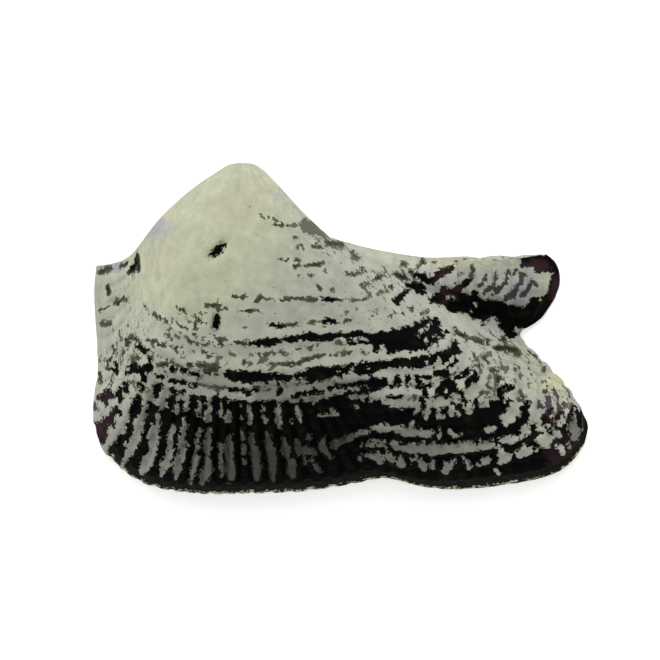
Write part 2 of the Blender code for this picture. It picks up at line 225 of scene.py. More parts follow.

# The other marks are drawn from above, in millimetres on the ground: areas are closed lines of
# (x, y), and marks are lines of (x, y, half width).
# The black areas and marks are stain with painted shade: painted shadow under the ledges and between the
# ribs, and painted shade on slopes that turn down from the light.
BLACK_AREAS = (
    # The lower band of the valve, from the front streaks to the rear lobe: stain with painted shade of the
    # slope that turns down from the light.
    (
        (-31.3, -11.3), (-31.0, -10.9), (-30.6, -10.9), (-30.5, -10.1), (-29.8, -10.0), (-29.7, -11.4),
        (-29.1, -11.6), (-28.9, -11.3), (-28.4, -11.0), (-28.0, -11.5), (-27.7, -11.9), (-27.1, -12.1),
        (-27.0, -12.6), (-26.6, -12.6), (-26.5, -12.2), (-25.6, -12.1), (-25.7, -11.3), (-26.3, -10.9),
        (-26.1, -10.7), (-25.5, -10.7), (-25.4, -10.2), (-25.0, -10.1), (-24.8, -10.5), (-24.7, -11.0),
        (-24.2, -11.2), (-23.9, -10.9), (-23.4, -10.9), (-23.3, -11.4), (-23.6, -11.8), (-23.6, -12.6),
        (-22.8, -12.7), (-22.5, -12.2), (-22.6, -11.6), (-22.3, -11.0), (-22.6, -10.2), (-21.9, -10.0),
        (-21.3, -10.2), (-20.6, -10.2), (-20.0, -10.3), (-19.9, -10.9), (-19.3, -10.8), (-19.2, -10.4),
        (-18.7, -10.1), (-18.3, -10.3), (-18.0, -10.7), (-17.6, -10.6), (-17.2, -10.4), (-17.0, -11.0),
        (-16.9, -11.6), (-16.6, -11.4), (-16.4, -11.0), (-15.7, -10.9), (-14.8, -10.8), (-14.2, -11.0),
        (-14.0, -11.4), (-13.2, -11.4), (-12.9, -11.1), (-11.0, -11.1), (-10.3, -10.9), (-9.9, -11.0),
        (-9.6, -11.5), (-8.5, -11.3), (-8.2, -11.1), (-7.3, -11.3), (-6.8, -11.5), (-6.1, -11.3),
        (-5.9, -10.8), (-5.7, -11.3), (-5.2, -11.5), (-4.7, -11.3), (-4.3, -11.4), (-4.1, -11.8),
        (-3.9, -11.4), (-3.4, -11.1), (-2.9, -10.8), (-2.0, -10.7), (-1.5, -10.4), (-0.6, -10.2),
        (0.1, -10.1), (0.6, -10.4), (1.5, -10.9), (1.9, -10.9), (2.7, -10.8), (2.8, -11.2), (3.4, -11.2),
        (3.5, -10.8), (4.1, -10.4), (4.1, -11.3), (4.6, -11.3), (5.0, -11.0), (5.7, -10.9), (6.1, -11.1),
        (6.2, -11.8), (7.4, -11.9), (7.6, -12.1), (8.5, -12.1), (8.6, -12.4), (9.2, -12.4), (9.3, -12.1),
        (10.9, -12.1), (11.2, -12.5), (11.8, -12.5), (12.0, -12.0), (12.4, -11.9), (12.6, -12.3),
        (13.5, -12.3), (13.7, -12.1), (16.0, -12.1), (16.2, -11.5), (18.4, -11.5), (18.4, -10.8),
        (19.5, -11.0), (20.2, -10.7), (20.5, -11.6), (20.6, -12.0), (22.2, -12.1), (22.3, -10.9),
        (23.4, -10.9), (23.4, -9.5), (23.8, -9.2), (24.2, -9.6), (24.3, -10.4), (24.6, -10.9), (25.0, -10.9),
        (25.4, -11.1), (25.2, -11.7), (24.9, -12.3), (24.6, -12.7), (24.1, -12.9), (23.6, -13.4),
        (23.5, -14.4), (24.1, -14.5), (24.3, -14.9), (25.0, -15.0), (25.2, -14.6), (25.8, -14.5),
        (26.2, -14.0), (26.1, -13.4), (27.0, -13.5), (27.1, -12.7), (26.5, -12.5), (26.6, -12.0),
        (27.4, -11.9), (27.5, -11.2), (27.8, -10.9), (28.2, -11.1), (28.2, -11.9), (27.9, -12.6),
        (27.9, -14.3), (27.3, -14.5), (26.9, -14.9), (26.5, -15.8), (27.0, -16.5), (28.2, -16.4),
        (28.5, -15.7), (28.3, -15.2), (28.8, -14.6), (30.2, -14.4), (30.3, -14.0), (29.7, -13.5),
        (30.0, -13.2), (30.9, -12.9), (31.0, -12.2), (31.5, -12.2), (31.3, -14.2), (31.9, -14.6),
        (33.0, -15.1), (33.3, -14.7), (34.1, -14.7), (34.1, -15.9), (34.4, -17.0), (35.7, -17.1),
        (35.9, -16.0), (36.4, -15.6), (36.3, -14.0), (36.0, -12.5), (35.9, -11.5), (39.0, -11.5),
        (39.0, -27.0), (-33.0, -27.0), (-36.0, -21.0), (-34.9, -18.8), (-34.6, -17.7), (-34.0, -17.5),
        (-33.5, -17.4), (-33.6, -17.0), (-33.4, -16.2), (-32.4, -16.2), (-32.1, -15.7), (-32.1, -14.5),
        (-31.6, -14.2), (-31.6, -12.6),
    ),
    # The front diagonal and spots of the front side.
    (
        (-35.3, -9.3), (-34.8, -9.2), (-34.2, -9.8), (-33.9, -10.4), (-33.6, -10.5), (-34.5, -10.8),
        (-34.9, -10.9), (-35.0, -11.7), (-35.3, -11.8), (-35.5, -11.2), (-36.4, -10.9), (-36.5, -10.3),
        (-36.0, -10.1), (-35.5, -10.0),
    ),
    (
        (-34.0, -11.9), (-33.5, -12.1), (-33.2, -12.6), (-32.8, -12.8), (-32.5, -13.3), (-33.0, -13.2),
        (-33.4, -12.9), (-34.0, -13.4), (-34.0, -15.0), (-34.3, -14.6), (-35.0, -14.6), (-35.1, -15.8),
        (-35.2, -17.0), (-35.5, -17.4), (-36.2, -17.6), (-37.5, -16.5), (-37.8, -14.6), (-37.0, -14.4),
        (-36.2, -14.3), (-35.4, -13.7), (-35.0, -13.3), (-34.5, -13.0), (-34.2, -12.3),
    ),
    (
        (-31.6, -5.5), (-30.6, -5.5), (-30.4, -6.0), (-29.3, -5.9), (-29.0, -5.5), (-28.4, -5.4),
        (-28.1, -5.8), (-28.0, -6.7), (-28.8, -6.9), (-29.2, -6.8), (-29.0, -7.6), (-29.0, -8.3),
        (-29.4, -8.2), (-29.5, -7.6), (-29.8, -7.0), (-30.4, -6.8), (-31.2, -6.9), (-32.1, -7.1),
        (-31.9, -6.7), (-31.6, -6.5),
    ),
    (
        (-27.9, -8.5), (-26.9, -8.4), (-26.6, -8.9), (-26.8, -9.5), (-27.2, -9.9), (-27.5, -10.7),
        (-27.8, -10.7), (-28.0, -9.9), (-28.0, -9.2),
    ),
    # Ends of the growth lines before the rear slope.
    (
        (4.0, -1.0), (5.5, -1.0), (6.0, -0.7), (7.0, -0.9), (7.6, -0.4), (9.0, -0.3), (9.3, 0.0),
        (10.4, 0.1), (10.9, 0.4), (11.1, 0.6), (11.9, 0.6), (12.0, 0.9), (12.4, 1.2), (13.0, 1.0),
        (13.1, 1.4), (13.7, 1.3), (14.1, 1.5), (14.4, 1.0), (14.8, 0.8), (14.8, -0.5), (16.0, -0.6),
        (15.9, -0.9), (15.1, -0.9), (15.6, -1.1), (15.5, -1.6), (14.7, -1.5), (14.3, -1.3), (14.4, -2.2),
        (13.9, -2.4), (13.2, -2.6), (12.9, -3.3), (12.0, -3.4), (10.0, -3.4), (8.0, -3.6), (7.9, -3.9),
        (6.9, -3.9), (6.7, -3.3), (6.4, -2.8), (5.9, -2.8), (5.8, -3.6), (5.0, -3.6), (4.9, -2.6),
        (4.1, -2.4), (3.9, -1.7),
    ),
    (
        (7.0, -5.1), (7.6, -4.9), (9.0, -4.6), (10.0, -4.7), (11.5, -4.6), (12.2, -4.4), (12.5, -4.1),
        (12.9, -4.5), (13.5, -4.2), (14.1, -3.9), (14.4, -3.6), (15.0, -3.6), (16.0, -3.4), (16.2, -3.0),
        (16.7, -3.0), (16.5, -2.1), (17.3, -2.1), (17.4, -2.8), (17.9, -3.0), (17.9, -4.0), (17.3, -4.1),
        (17.2, -5.0), (17.0, -5.9), (16.3, -6.1), (16.2, -6.9), (16.1, -7.6), (14.9, -7.6), (14.4, -7.2),
        (13.8, -7.0), (13.8, -6.7), (14.1, -6.5), (15.5, -6.6), (15.7, -6.1), (15.9, -5.9), (16.6, -5.5),
        (16.9, -5.0), (17.0, -4.2), (16.4, -4.3), (16.0, -4.8), (15.6, -5.2), (15.0, -5.1), (14.6, -4.5),
        (14.0, -4.8), (13.8, -5.5), (13.0, -5.8), (12.0, -6.0), (9.0, -6.0), (8.0, -5.9), (7.0, -6.0),
        (6.0, -6.2), (5.3, -6.6), (5.0, -6.9), (4.7, -7.4), (4.6, -6.9), (3.0, -7.0), (1.0, -7.0),
        (0.2, -7.2), (0.0, -7.5), (-0.8, -7.4), (-1.0, -7.6), (-2.0, -7.8), (-3.0, -7.9), (-4.0, -8.2),
        (-5.0, -8.3), (-5.0, -7.6), (-6.0, -7.7), (-7.0, -7.7), (-7.7, -7.3), (-7.0, -6.9), (-6.4, -7.0),
        (-5.4, -6.7), (-5.1, -6.2), (-4.0, -6.1), (-1.0, -5.95), (0.6, -5.9), (0.9, -5.5), (1.7, -5.5),
        (2.0, -5.8), (2.4, -5.5), (3.2, -5.3), (5.6, -5.2), (5.8, -4.9), (6.9, -5.0),
    ),
    (
        (15.5, -7.8), (16.8, -7.9), (17.0, -8.3), (17.2, -9.2), (17.9, -9.4), (18.2, -9.7), (18.0, -10.3),
        (17.5, -10.2), (17.1, -9.8), (16.6, -9.7), (16.5, -10.0), (16.1, -9.6), (15.6, -9.2), (15.3, -9.6),
        (15.9, -9.9), (16.1, -10.2), (15.9, -10.8), (15.4, -10.6), (15.1, -10.2), (14.7, -10.3),
        (14.3, -10.8), (13.7, -10.7), (13.8, -10.3), (14.1, -10.1), (14.2, -9.1), (14.7, -9.0), (14.9, -8.2),
    ),
    (
        (2.4, -8.0), (4.0, -7.9), (4.5, -7.6), (5.2, -7.8), (6.5, -7.6), (6.8, -7.9), (6.9, -8.4),
        (7.2, -8.6), (8.0, -8.6), (8.1, -8.9), (6.3, -8.9), (5.7, -9.2), (5.3, -9.5), (4.2, -9.6),
        (3.5, -9.7), (3.1, -9.5), (3.1, -9.0), (2.2, -8.7),
    ),
    # The wing: painted shadow under its roll and painted shade along its end, with stain.
    (
        (13.1, 4.2), (14.2, 4.9), (14.8, 5.2), (14.9, 6.1), (15.5, 6.2), (15.8, 5.8), (16.5, 5.5),
        (16.9, 5.8), (17.2, 6.3), (18.0, 6.4), (18.3, 6.9), (18.9, 7.3), (19.3, 6.8), (19.0, 6.3),
        (18.5, 6.0), (17.8, 5.3), (18.3, 5.0), (18.6, 4.7), (19.3, 4.7), (19.7, 5.5), (20.1, 5.6),
        (20.5, 5.0), (20.7, 4.4), (21.2, 3.9), (22.2, 4.2), (22.9, 3.9), (24.1, 3.9), (24.6, 3.5),
        (26.0, 3.1), (26.5, 2.8), (27.2, 2.8), (27.9, 3.1), (28.3, 3.9), (28.6, 4.3), (29.4, 4.4),
        (29.5, 4.0), (30.0, 4.0), (30.1, 4.5), (30.9, 4.9), (31.2, 5.6), (31.4, 6.6), (31.6, 7.6),
        (32.1, 8.1), (32.0, 8.5), (30.6, 8.4), (30.0, 8.2), (29.2, 8.1), (28.9, 8.9), (28.0, 9.2),
        (27.0, 9.1), (26.9, 9.9), (27.0, 10.6), (31.2, 11.5), (34.5, 11.0), (34.5, 1.0), (29.0, -1.0),
        (26.6, 0.2), (26.2, 0.0), (25.9, -0.5), (26.5, -1.0), (25.9, -1.5), (25.5, -2.1), (25.3, -1.7),
        (24.8, -1.5), (24.7, -1.0), (24.2, -0.7), (23.8, -0.1), (23.6, 0.3), (23.9, 0.6), (23.4, 1.0),
        (23.2, 1.8), (22.9, 1.8), (22.3, 1.3), (21.7, 1.0), (21.3, 0.2), (21.1, 0.4), (21.2, 1.3),
        (20.0, 1.3), (19.6, 1.5), (19.1, 2.1), (17.2, 2.4), (16.6, 2.2), (16.0, 2.7), (15.4, 3.2),
        (15.0, 3.6), (14.6, 3.2), (14.3, 3.7), (13.4, 3.7),
    ),
)

# The greyer patch behind the beak, which fades out below this height.
PATCH_FOOT, PATCH_FADE = 10.0, 0.25
PATCH_AREAS = (
    (
        (-7.8, 15.4), (-6.2, 15.5), (-5.4, 16.2), (-4.0, 15.8), (-3.5, 15.2), (-2.6, 14.3), (-2.0, 13.7),
        (-1.7, 13.0), (-1.2, 13.1), (-0.7, 13.5), (-0.3, 13.0), (0.5, 12.6), (1.3, 11.9), (2.3, 11.3),
        (3.1, 10.1), (2.0, 9.8), (1.3, 10.2), (1.1, 11.6), (0.6, 11.9), (0.0, 11.4), (-0.9, 11.7),
        (-2.2, 11.9), (-2.6, 12.4), (-2.4, 12.9), (-2.9, 13.3), (-4.6, 13.6), (-5.7, 14.3), (-6.3, 14.7),
        (-7.7, 14.7),
    ),
)

# Black marks: stain with painted shadow under the growth ledges.
BLACK_MARKS = (
    # The front side, where the lines break into streaks along the ribs.
    ((-34.6, -6.3, 0.15), (-33.9, -6.3, 0.25)),
    ((-33.65, -5.6, 0.25), (-33.6, -6.8, 0.3)),
    ((-30.3, -2.9, 0.3), (-29.8, -3.3, 0.5), (-29.3, -3.6, 0.4)),
    ((-29.1, -3.4, 0.1), (-28.5, -3.4, 0.08)),
    ((-28.5, -4.9, 0.2), (-28.4, -5.5, 0.12)),
    ((-27.8, -7.0, 0.2), (-27.5, -7.3, 0.22), (-26.9, -7.4, 0.22), (-26.3, -7.3, 0.2)),
    ((-25.5, -8.1, 0.2), (-24.2, -8.1, 0.15), (-23.4, -8.2, 0.25), (-23.1, -8.4, 0.15)),
    ((-23.2, -6.8, 0.15), (-22.5, -7.0, 0.2), (-22.0, -7.1, 0.35), (-21.4, -7.0, 0.25)),
    ((-22.6, -8.6, 0.2), (-22.1, -8.6, 0.3), (-21.4, -8.5, 0.2)),
    ((-30.1, -8.6, 0.3), (-29.6, -8.9, 0.35), (-29.7, -9.3, 0.15)),
    ((-32.6, -8.2, 0.25), (-32.2, -8.8, 0.4), (-32.1, -9.5, 0.3)),
    ((-32.9, -9.1, 0.3), (-33.1, -9.9, 0.45), (-33.1, -10.7, 0.45), (-33.1, -11.2, 0.2)),
    ((-25.2, -9.3, 0.3), (-24.9, -9.6, 0.35), (-24.8, -10.1, 0.25)),
    ((-24.1, -9.8, 0.15), (-23.5, -9.8, 0.3)),
    ((-25.2, -6.3, 0.35), (-24.7, -6.5, 0.3)),
    ((-23.6, -6.4, 0.35), (-23.2, -6.5, 0.35)),
    # Growth lines below the beak.
    (
        (-13.4, -2.6, 0.2), (-12.5, -2.5, 0.45), (-11.2, -2.35, 0.5), (-10.2, -2.3, 0.5), (-9.4, -2.2, 0.4),
        (-8.6, -1.9, 0.25), (-7.8, -1.8, 0.35), (-6.8, -1.8, 0.3),
    ),
    (
        (-6.4, -1.6, 0.3), (-5.4, -1.5, 0.5), (-4.6, -1.5, 0.5), (-3.7, -1.6, 0.5), (-2.9, -1.6, 0.5),
        (-2.0, -1.5, 0.5), (-1.0, -1.3, 0.38), (0.0, -1.25, 0.36), (1.0, -1.25, 0.36), (2.0, -1.2, 0.4),
        (3.0, -1.1, 0.5), (4.2, -1.4, 0.4),
    ),
    ((1.0, -2.3, 0.2), (2.0, -2.5, 0.22)),
    ((2.9, -2.2, 0.2), (3.7, -2.5, 0.28)),
    (
        (-17.2, -7.2, 0.2), (-16.5, -6.9, 0.5), (-16.1, -7.3, 0.7), (-15.2, -7.2, 0.65), (-14.3, -7.4, 0.75),
        (-13.4, -7.5, 0.8), (-12.4, -7.5, 0.7), (-11.3, -7.6, 0.65), (-10.6, -7.5, 0.5), (-9.9, -7.2, 0.35),
    ),
    ((-9.9, -7.2, 0.3), (-9.2, -7.6, 0.45), (-8.4, -7.7, 0.5), (-7.4, -7.6, 0.5)),
    ((-16.4, -9.4, 0.25), (-15.4, -9.3, 0.22)),
    ((-14.6, -9.3, 0.15), (-14.2, -9.8, 0.28), (-13.5, -9.7, 0.33), (-12.8, -9.3, 0.38), (-12.2, -9.2, 0.28)),
    ((-9.4, -8.3, 0.15), (-9.3, -9.0, 0.2), (-9.2, -9.7, 0.4)),
    (
        (-7.2, -10.5, 0.2), (-6.6, -10.2, 0.35), (-5.6, -9.9, 0.3), (-4.6, -9.8, 0.38), (-3.4, -9.75, 0.4),
        (-2.6, -9.65, 0.3),
    ),
    (
        (-2.4, -9.5, 0.2), (-1.6, -9.2, 0.22), (-0.8, -8.9, 0.22), (0.0, -8.8, 0.22), (1.0, -8.75, 0.33),
        (1.8, -8.6, 0.22), (2.8, -8.3, 0.33),
    ),
    ((0.3, -10.2, 0.2), (1.2, -10.0, 0.33), (2.3, -9.9, 0.3), (3.1, -9.7, 0.33), (4.0, -9.3, 0.33)),
    # Rows of short marks behind them.
    ((12.6, -7.5, 0.22), (13.3, -7.55, 0.3)),
    ((8.0, -7.6, 0.3), (8.6, -7.9, 0.4), (8.2, -8.4, 0.4), (7.4, -8.7, 0.25)),
    ((10.2, -7.3, 0.33), (9.9, -7.9, 0.35), (9.8, -8.6, 0.28)),
    ((11.3, -7.5, 0.33), (11.6, -8.2, 0.4), (11.5, -8.8, 0.33)),
    ((12.3, -9.0, 0.33), (13.2, -8.8, 0.33)),
    ((12.5, -9.7, 0.4), (12.7, -10.4, 0.22)),
    ((12.1, -10.7, 0.28), (12.2, -11.9, 0.28)),
    ((8.4, -10.7, 0.28), (8.9, -10.4, 0.33)),
    ((7.1, -10.5, 0.2), (7.8, -10.5, 0.2)),
    ((17.1, -7.6, 0.28), (17.8, -7.4, 0.35), (18.3, -7.0, 0.28), (18.8, -6.5, 0.4), (19.1, -6.2, 0.22)),
    ((20.0, -7.0, 0.3), (20.0, -7.7, 0.5), (19.3, -7.9, 0.38), (18.8, -8.5, 0.35), (18.6, -8.9, 0.15)),
    ((24.4, -9.2, 0.35), (25.1, -9.0, 0.4), (25.6, -9.1, 0.3)),
    ((30.3, -13.3, 0.3), (31.0, -13.6, 0.35)),
    ((31.2, -12.3, 0.3), (31.1, -13.2, 0.3)),
    ((34.9, -12.2, 0.25), (34.5, -13.3, 0.3), (34.0, -14.2, 0.3)),
    ((35.6, -12.9, 0.25), (35.9, -13.8, 0.45), (35.8, -14.7, 0.4)),
    ((36.1, -16.0, 0.25), (35.9, -16.8, 0.35)),
    ((32.4, -13.5, 0.45), (32.9, -12.9, 0.4)),
    # Down the rear slope.
    ((7.9, 4.0, 0.2), (8.5, 4.3, 0.38), (9.1, 4.6, 0.38), (9.6, 5.2, 0.33), (9.9, 5.5, 0.2)),
    ((8.4, 4.0, 0.2), (8.4, 3.4, 0.18)),
    ((10.1, 6.2, 0.3), (11.0, 6.1, 0.5), (11.7, 5.9, 0.75), (12.0, 5.4, 0.4), (12.7, 5.1, 0.15)),
    (
        (11.4, 7.8, 0.33), (12.1, 7.5, 0.45), (12.9, 7.0, 0.5), (13.9, 6.95, 0.45), (14.5, 7.6, 0.5),
        (15.0, 8.2, 0.55), (15.7, 8.4, 0.45), (16.5, 8.7, 0.33),
    ),
)

OLIVE_MARKS = (
    # The front side.
    ((-36.2, -4.8, 0.2), (-36.1, -5.2, 0.15)),
    ((-35.7, -5.1, 0.15), (-34.9, -5.0, 0.3), (-34.3, -4.5, 0.25)),
    ((-35.0, -5.1, 0.25), (-35.0, -5.9, 0.2)),
    ((-35.3, -6.2, 0.15), (-34.7, -6.2, 0.2)),
    ((-34.1, -2.6, 0.15), (-33.9, -3.3, 0.3), (-34.1, -3.9, 0.15)),
    ((-34.2, -7.2, 0.2), (-34.4, -8.2, 0.25), (-34.6, -8.8, 0.15)),
    ((-36.2, -7.0, 0.3), (-36.1, -8.2, 0.3)),
    ((-32.4, -1.9, 0.25), (-31.3, -1.6, 0.3), (-31.2, -1.1, 0.2)),
    ((-32.1, -2.2, 0.3), (-32.0, -3.3, 0.2)),
    ((-31.9, -2.1, 0.3), (-31.4, -2.4, 0.2)),
    ((-31.0, -1.6, 0.3), (-30.3, -2.0, 0.3), (-30.0, -2.5, 0.3)),
    ((-32.5, -3.6, 0.25), (-32.6, -4.3, 0.25)),
    ((-28.9, -2.0, 0.25), (-28.2, -2.1, 0.3), (-27.4, -2.2, 0.3), (-26.9, -3.1, 0.2)),
    ((-27.0, -2.7, 0.2), (-26.3, -2.7, 0.25)),
    ((-25.9, -1.2, 0.25), (-25.3, -1.8, 0.3)),
    ((-24.5, -1.3, 0.25), (-24.2, -1.3, 0.2)),
    ((-24.6, -2.7, 0.2), (-24.5, -3.7, 0.22)),
    ((-22.9, -1.6, 0.2), (-22.3, -2.4, 0.25)),
    ((-31.2, -4.6, 0.35), (-30.3, -4.5, 0.4)),
    ((-31.0, -5.1, 0.25), (-30.9, -5.5, 0.2)),
    ((-28.8, -4.5, 0.3), (-28.1, -4.4, 0.35)),
    ((-27.2, -5.7, 0.35), (-26.0, -5.6, 0.45)),
    ((-26.6, -4.5, 0.15), (-25.9, -4.9, 0.2)),
    ((-25.2, -5.0, 0.2), (-24.9, -5.2, 0.2)),
    ((-24.6, -5.6, 0.2), (-24.3, -5.8, 0.2)),
    ((-29.0, -9.3, 0.2), (-28.8, -9.6, 0.2), (-29.4, -9.8, 0.2)),
    ((-37.0, -11.4, 0.3), (-36.7, -12.2, 0.35)),
    # Between the growth lines below the beak.
    ((-23.0, -5.6, 0.3), (-21.5, -5.6, 0.35), (-20.4, -5.8, 0.3), (-18.7, -5.8, 0.3), (-18.0, -6.1, 0.2)),
    ((-20.2, -6.4, 0.3), (-18.6, -6.4, 0.4)),
    ((-20.2, -7.0, 0.3), (-19.6, -7.0, 0.2)),
    ((-18.7, -7.1, 0.3), (-18.4, -7.1, 0.2)),
    ((-20.9, -8.6, 0.15), (-20.0, -8.7, 0.15)),
    ((-19.6, -9.1, 0.25), (-18.8, -8.8, 0.3), (-18.4, -9.3, 0.25), (-17.4, -9.0, 0.2)),
    ((-20.7, -2.3, 0.15), (-20.2, -2.9, 0.3), (-19.7, -2.4, 0.15)),
    ((-22.0, -2.2, 0.25), (-21.4, -2.5, 0.2)),
    ((-18.4, -1.8, 0.2), (-17.3, -1.9, 0.3)),
    ((-17.9, -2.1, 0.4), (-17.8, -2.6, 0.25)),
    ((-22.2, -3.7, 0.15), (-21.9, -3.8, 0.15)),
    ((-20.4, -3.7, 0.2), (-20.0, -3.9, 0.15)),
    ((-19.8, -4.3, 0.25), (-18.9, -4.3, 0.25)),
    ((-16.2, -2.5, 0.25), (-16.1, -2.5, 0.25)),
    ((-15.6, -2.4, 0.35), (-14.0, -2.4, 0.35), (-13.2, -2.6, 0.25)),
    ((-13.3, -4.1, 0.12), (-12.2, -4.0, 0.15)),
    ((-12.0, -4.4, 0.2), (-11.5, -4.5, 0.3), (-11.0, -4.1, 0.3), (-10.0, -3.9, 0.2)),
    ((-11.6, -5.1, 0.22), (-12.4, -5.5, 0.2)),
    ((-9.0, -3.8, 0.2), (-8.3, -3.8, 0.3)),
    ((-17.3, -4.9, 0.12), (-17.0, -5.1, 0.22)),
    ((-14.5, -5.2, 0.3), (-13.5, -5.3, 0.2)),
    ((-13.9, -5.4, 0.2), (-13.9, -5.7, 0.12)),
    ((-10.8, -5.5, 0.25), (-10.0, -5.5, 0.2)),
    (
        (-9.2, -5.5, 0.3), (-8.2, -5.6, 0.4), (-7.0, -5.4, 0.45), (-6.0, -5.2, 0.35), (-5.0, -4.7, 0.4),
        (-4.0, -4.5, 0.32), (-3.0, -4.3, 0.3), (-2.3, -4.2, 0.2),
    ),
    ((-1.6, -4.2, 0.18), (-0.6, -4.1, 0.2), (0.4, -4.1, 0.18)),
    ((0.6, -3.8, 0.2), (1.4, -3.8, 0.25)),
    ((2.3, -3.7, 0.1), (3.9, -3.8, 0.15)),
    ((-5.2, -3.0, 0.22), (-4.4, -3.1, 0.3)),
    ((-4.0, -2.6, 0.2), (-3.8, -2.6, 0.15)),
    ((-6.9, -3.4, 0.12), (-6.2, -3.2, 0.2)),
    ((-0.7, -2.5, 0.2), (0.0, -2.5, 0.22)),
    ((-6.5, -8.6, 0.22), (-5.8, -8.2, 0.2)),
    ((-11.5, -9.5, 0.2), (-10.7, -9.3, 0.25)),
    ((10.4, -10.6, 0.2), (10.9, -10.4, 0.25)),
    # Behind the ridge and on the rear lobe.
    ((17.0, -0.3, 0.3), (17.3, -0.9, 0.4), (17.9, -1.2, 0.35), (18.4, -1.3, 0.33), (18.7, -1.9, 0.22)),
    ((19.5, -1.7, 0.33), (20.2, -2.0, 0.42), (20.8, -2.2, 0.4)),
    ((21.9, -2.0, 0.28), (21.9, -2.5, 0.25)),
    ((19.6, -4.0, 0.15), (20.1, -4.4, 0.28)),
    ((21.3, -4.4, 0.25), (21.6, -5.0, 0.25), (22.0, -5.5, 0.2)),
    ((20.0, -5.4, 0.2), (20.8, -5.7, 0.2)),
    ((22.3, -6.4, 0.33), (23.0, -6.4, 0.4), (22.7, -6.9, 0.25)),
    ((23.3, -7.6, 0.38), (23.9, -7.6, 0.33)),
    ((23.3, -8.1, 0.38), (23.4, -8.2, 0.3)),
    ((21.8, -8.7, 0.28), (22.4, -9.1, 0.3)),
    ((20.5, -10.1, 0.2), (20.8, -9.9, 0.35), (21.4, -9.8, 0.38), (21.8, -10.1, 0.35)),
    ((24.3, -1.7, 0.38), (24.8, -1.9, 0.28)),
    ((24.5, -2.0, 0.25), (24.5, -2.6, 0.2)),
    (
        (23.0, -3.1, 0.25), (23.6, -3.1, 0.4), (24.5, -3.1, 0.4), (25.3, -3.3, 0.5), (26.0, -3.5, 0.55),
        (26.2, -4.1, 0.42), (26.7, -4.3, 0.33),
    ),
    ((28.1, -3.6, 0.15), (28.7, -4.1, 0.18), (29.4, -4.6, 0.18), (29.8, -5.2, 0.22)),
    ((30.4, -6.2, 0.3), (30.4, -6.9, 0.28)),
    ((26.1, -6.1, 0.3), (26.1, -6.7, 0.18)),
    ((26.8, -9.6, 0.28), (26.8, -10.2, 0.42), (27.2, -10.4, 0.38), (26.6, -11.0, 0.3)),
    ((29.7, -11.2, 0.33), (29.8, -11.8, 0.42)),
    ((30.5, -9.7, 0.35), (31.0, -9.9, 0.33), (31.0, -10.6, 0.33), (31.0, -11.4, 0.6)),
    ((31.8, -9.6, 0.25), (32.1, -9.9, 0.3)),
    # Behind the beak and down the rear slope.
    ((-11.9, 16.5, 0.2), (-11.4, 16.2, 0.15)),
    ((-10.8, 16.5, 0.2), (-10.0, 16.4, 0.28)),
    ((-10.2, 15.0, 0.15), (-9.3, 15.3, 0.22), (-7.9, 15.1, 0.2)),
    ((-6.8, 13.3, 0.22), (-6.6, 13.3, 0.2)),
    ((-6.7, 11.7, 0.2), (-5.9, 12.0, 0.18)),
    ((-4.0, 12.0, 0.25), (-2.9, 11.9, 0.28)),
    ((-2.0, 12.6, 0.35), (0.3, 12.3, 0.4)),
    ((1.6, 11.2, 0.3), (2.4, 10.3, 0.3)),
    ((-9.0, 10.1, 0.15), (-8.0, 9.9, 0.15)),
    ((-6.9, 10.0, 0.18), (-6.3, 10.0, 0.18)),
    ((-6.9, 8.9, 0.3), (-6.4, 9.3, 0.25)),
    ((-5.5, 9.0, 0.22), (-4.5, 9.2, 0.33), (-3.4, 9.3, 0.3), (-2.7, 9.7, 0.25)),
    ((-6.1, 7.6, 0.22), (-5.9, 7.5, 0.15)),
    ((-4.6, 7.8, 0.22), (-4.3, 7.7, 0.22)),
    ((-3.5, 6.1, 0.18), (-3.0, 5.5, 0.18)),
    ((-1.3, 5.6, 0.2), (-1.2, 5.4, 0.2)),
    ((0.9, 8.0, 0.2), (1.5, 7.6, 0.33), (2.3, 8.0, 0.28), (3.2, 8.5, 0.33), (3.8, 8.3, 0.22)),
    ((3.0, 6.3, 0.25), (3.7, 6.3, 0.35)),
    ((4.9, 7.0, 0.35), (5.5, 7.3, 0.33), (6.1, 7.7, 0.28)),
    ((5.5, 4.9, 0.22), (6.0, 5.2, 0.28)),
    ((6.8, 5.2, 0.18), (7.2, 5.6, 0.28), (7.6, 6.1, 0.28)),
    ((7.8, 8.1, 0.25), (8.4, 7.8, 0.38), (9.0, 7.5, 0.48), (9.6, 7.3, 0.42)),
    ((9.3, 6.8, 0.18), (9.9, 6.6, 0.22)),
    ((9.2, 9.5, 0.35), (9.7, 9.3, 0.3)),
    ((10.2, 8.3, 0.28), (10.8, 8.3, 0.33)),
    ((11.5, 9.1, 0.28), (11.7, 9.1, 0.25)),
    ((12.3, 10.0, 0.35), (12.3, 9.7, 0.35)),
    ((13.9, 9.7, 0.3), (13.9, 9.6, 0.3)),
    ((10.4, 2.8, 0.35), (10.6, 2.4, 0.28)),
    ((12.1, 2.0, 0.28), (12.7, 2.4, 0.33)),
    ((9.1, 2.1, 0.25), (9.3, 1.7, 0.2)),
    ((7.3, 1.6, 0.18), (7.5, 1.6, 0.18)),
    ((17.2, 9.8, 0.22), (17.3, 9.6, 0.2)),
    ((17.5, 7.7, 0.25), (18.1, 8.0, 0.18)),
)

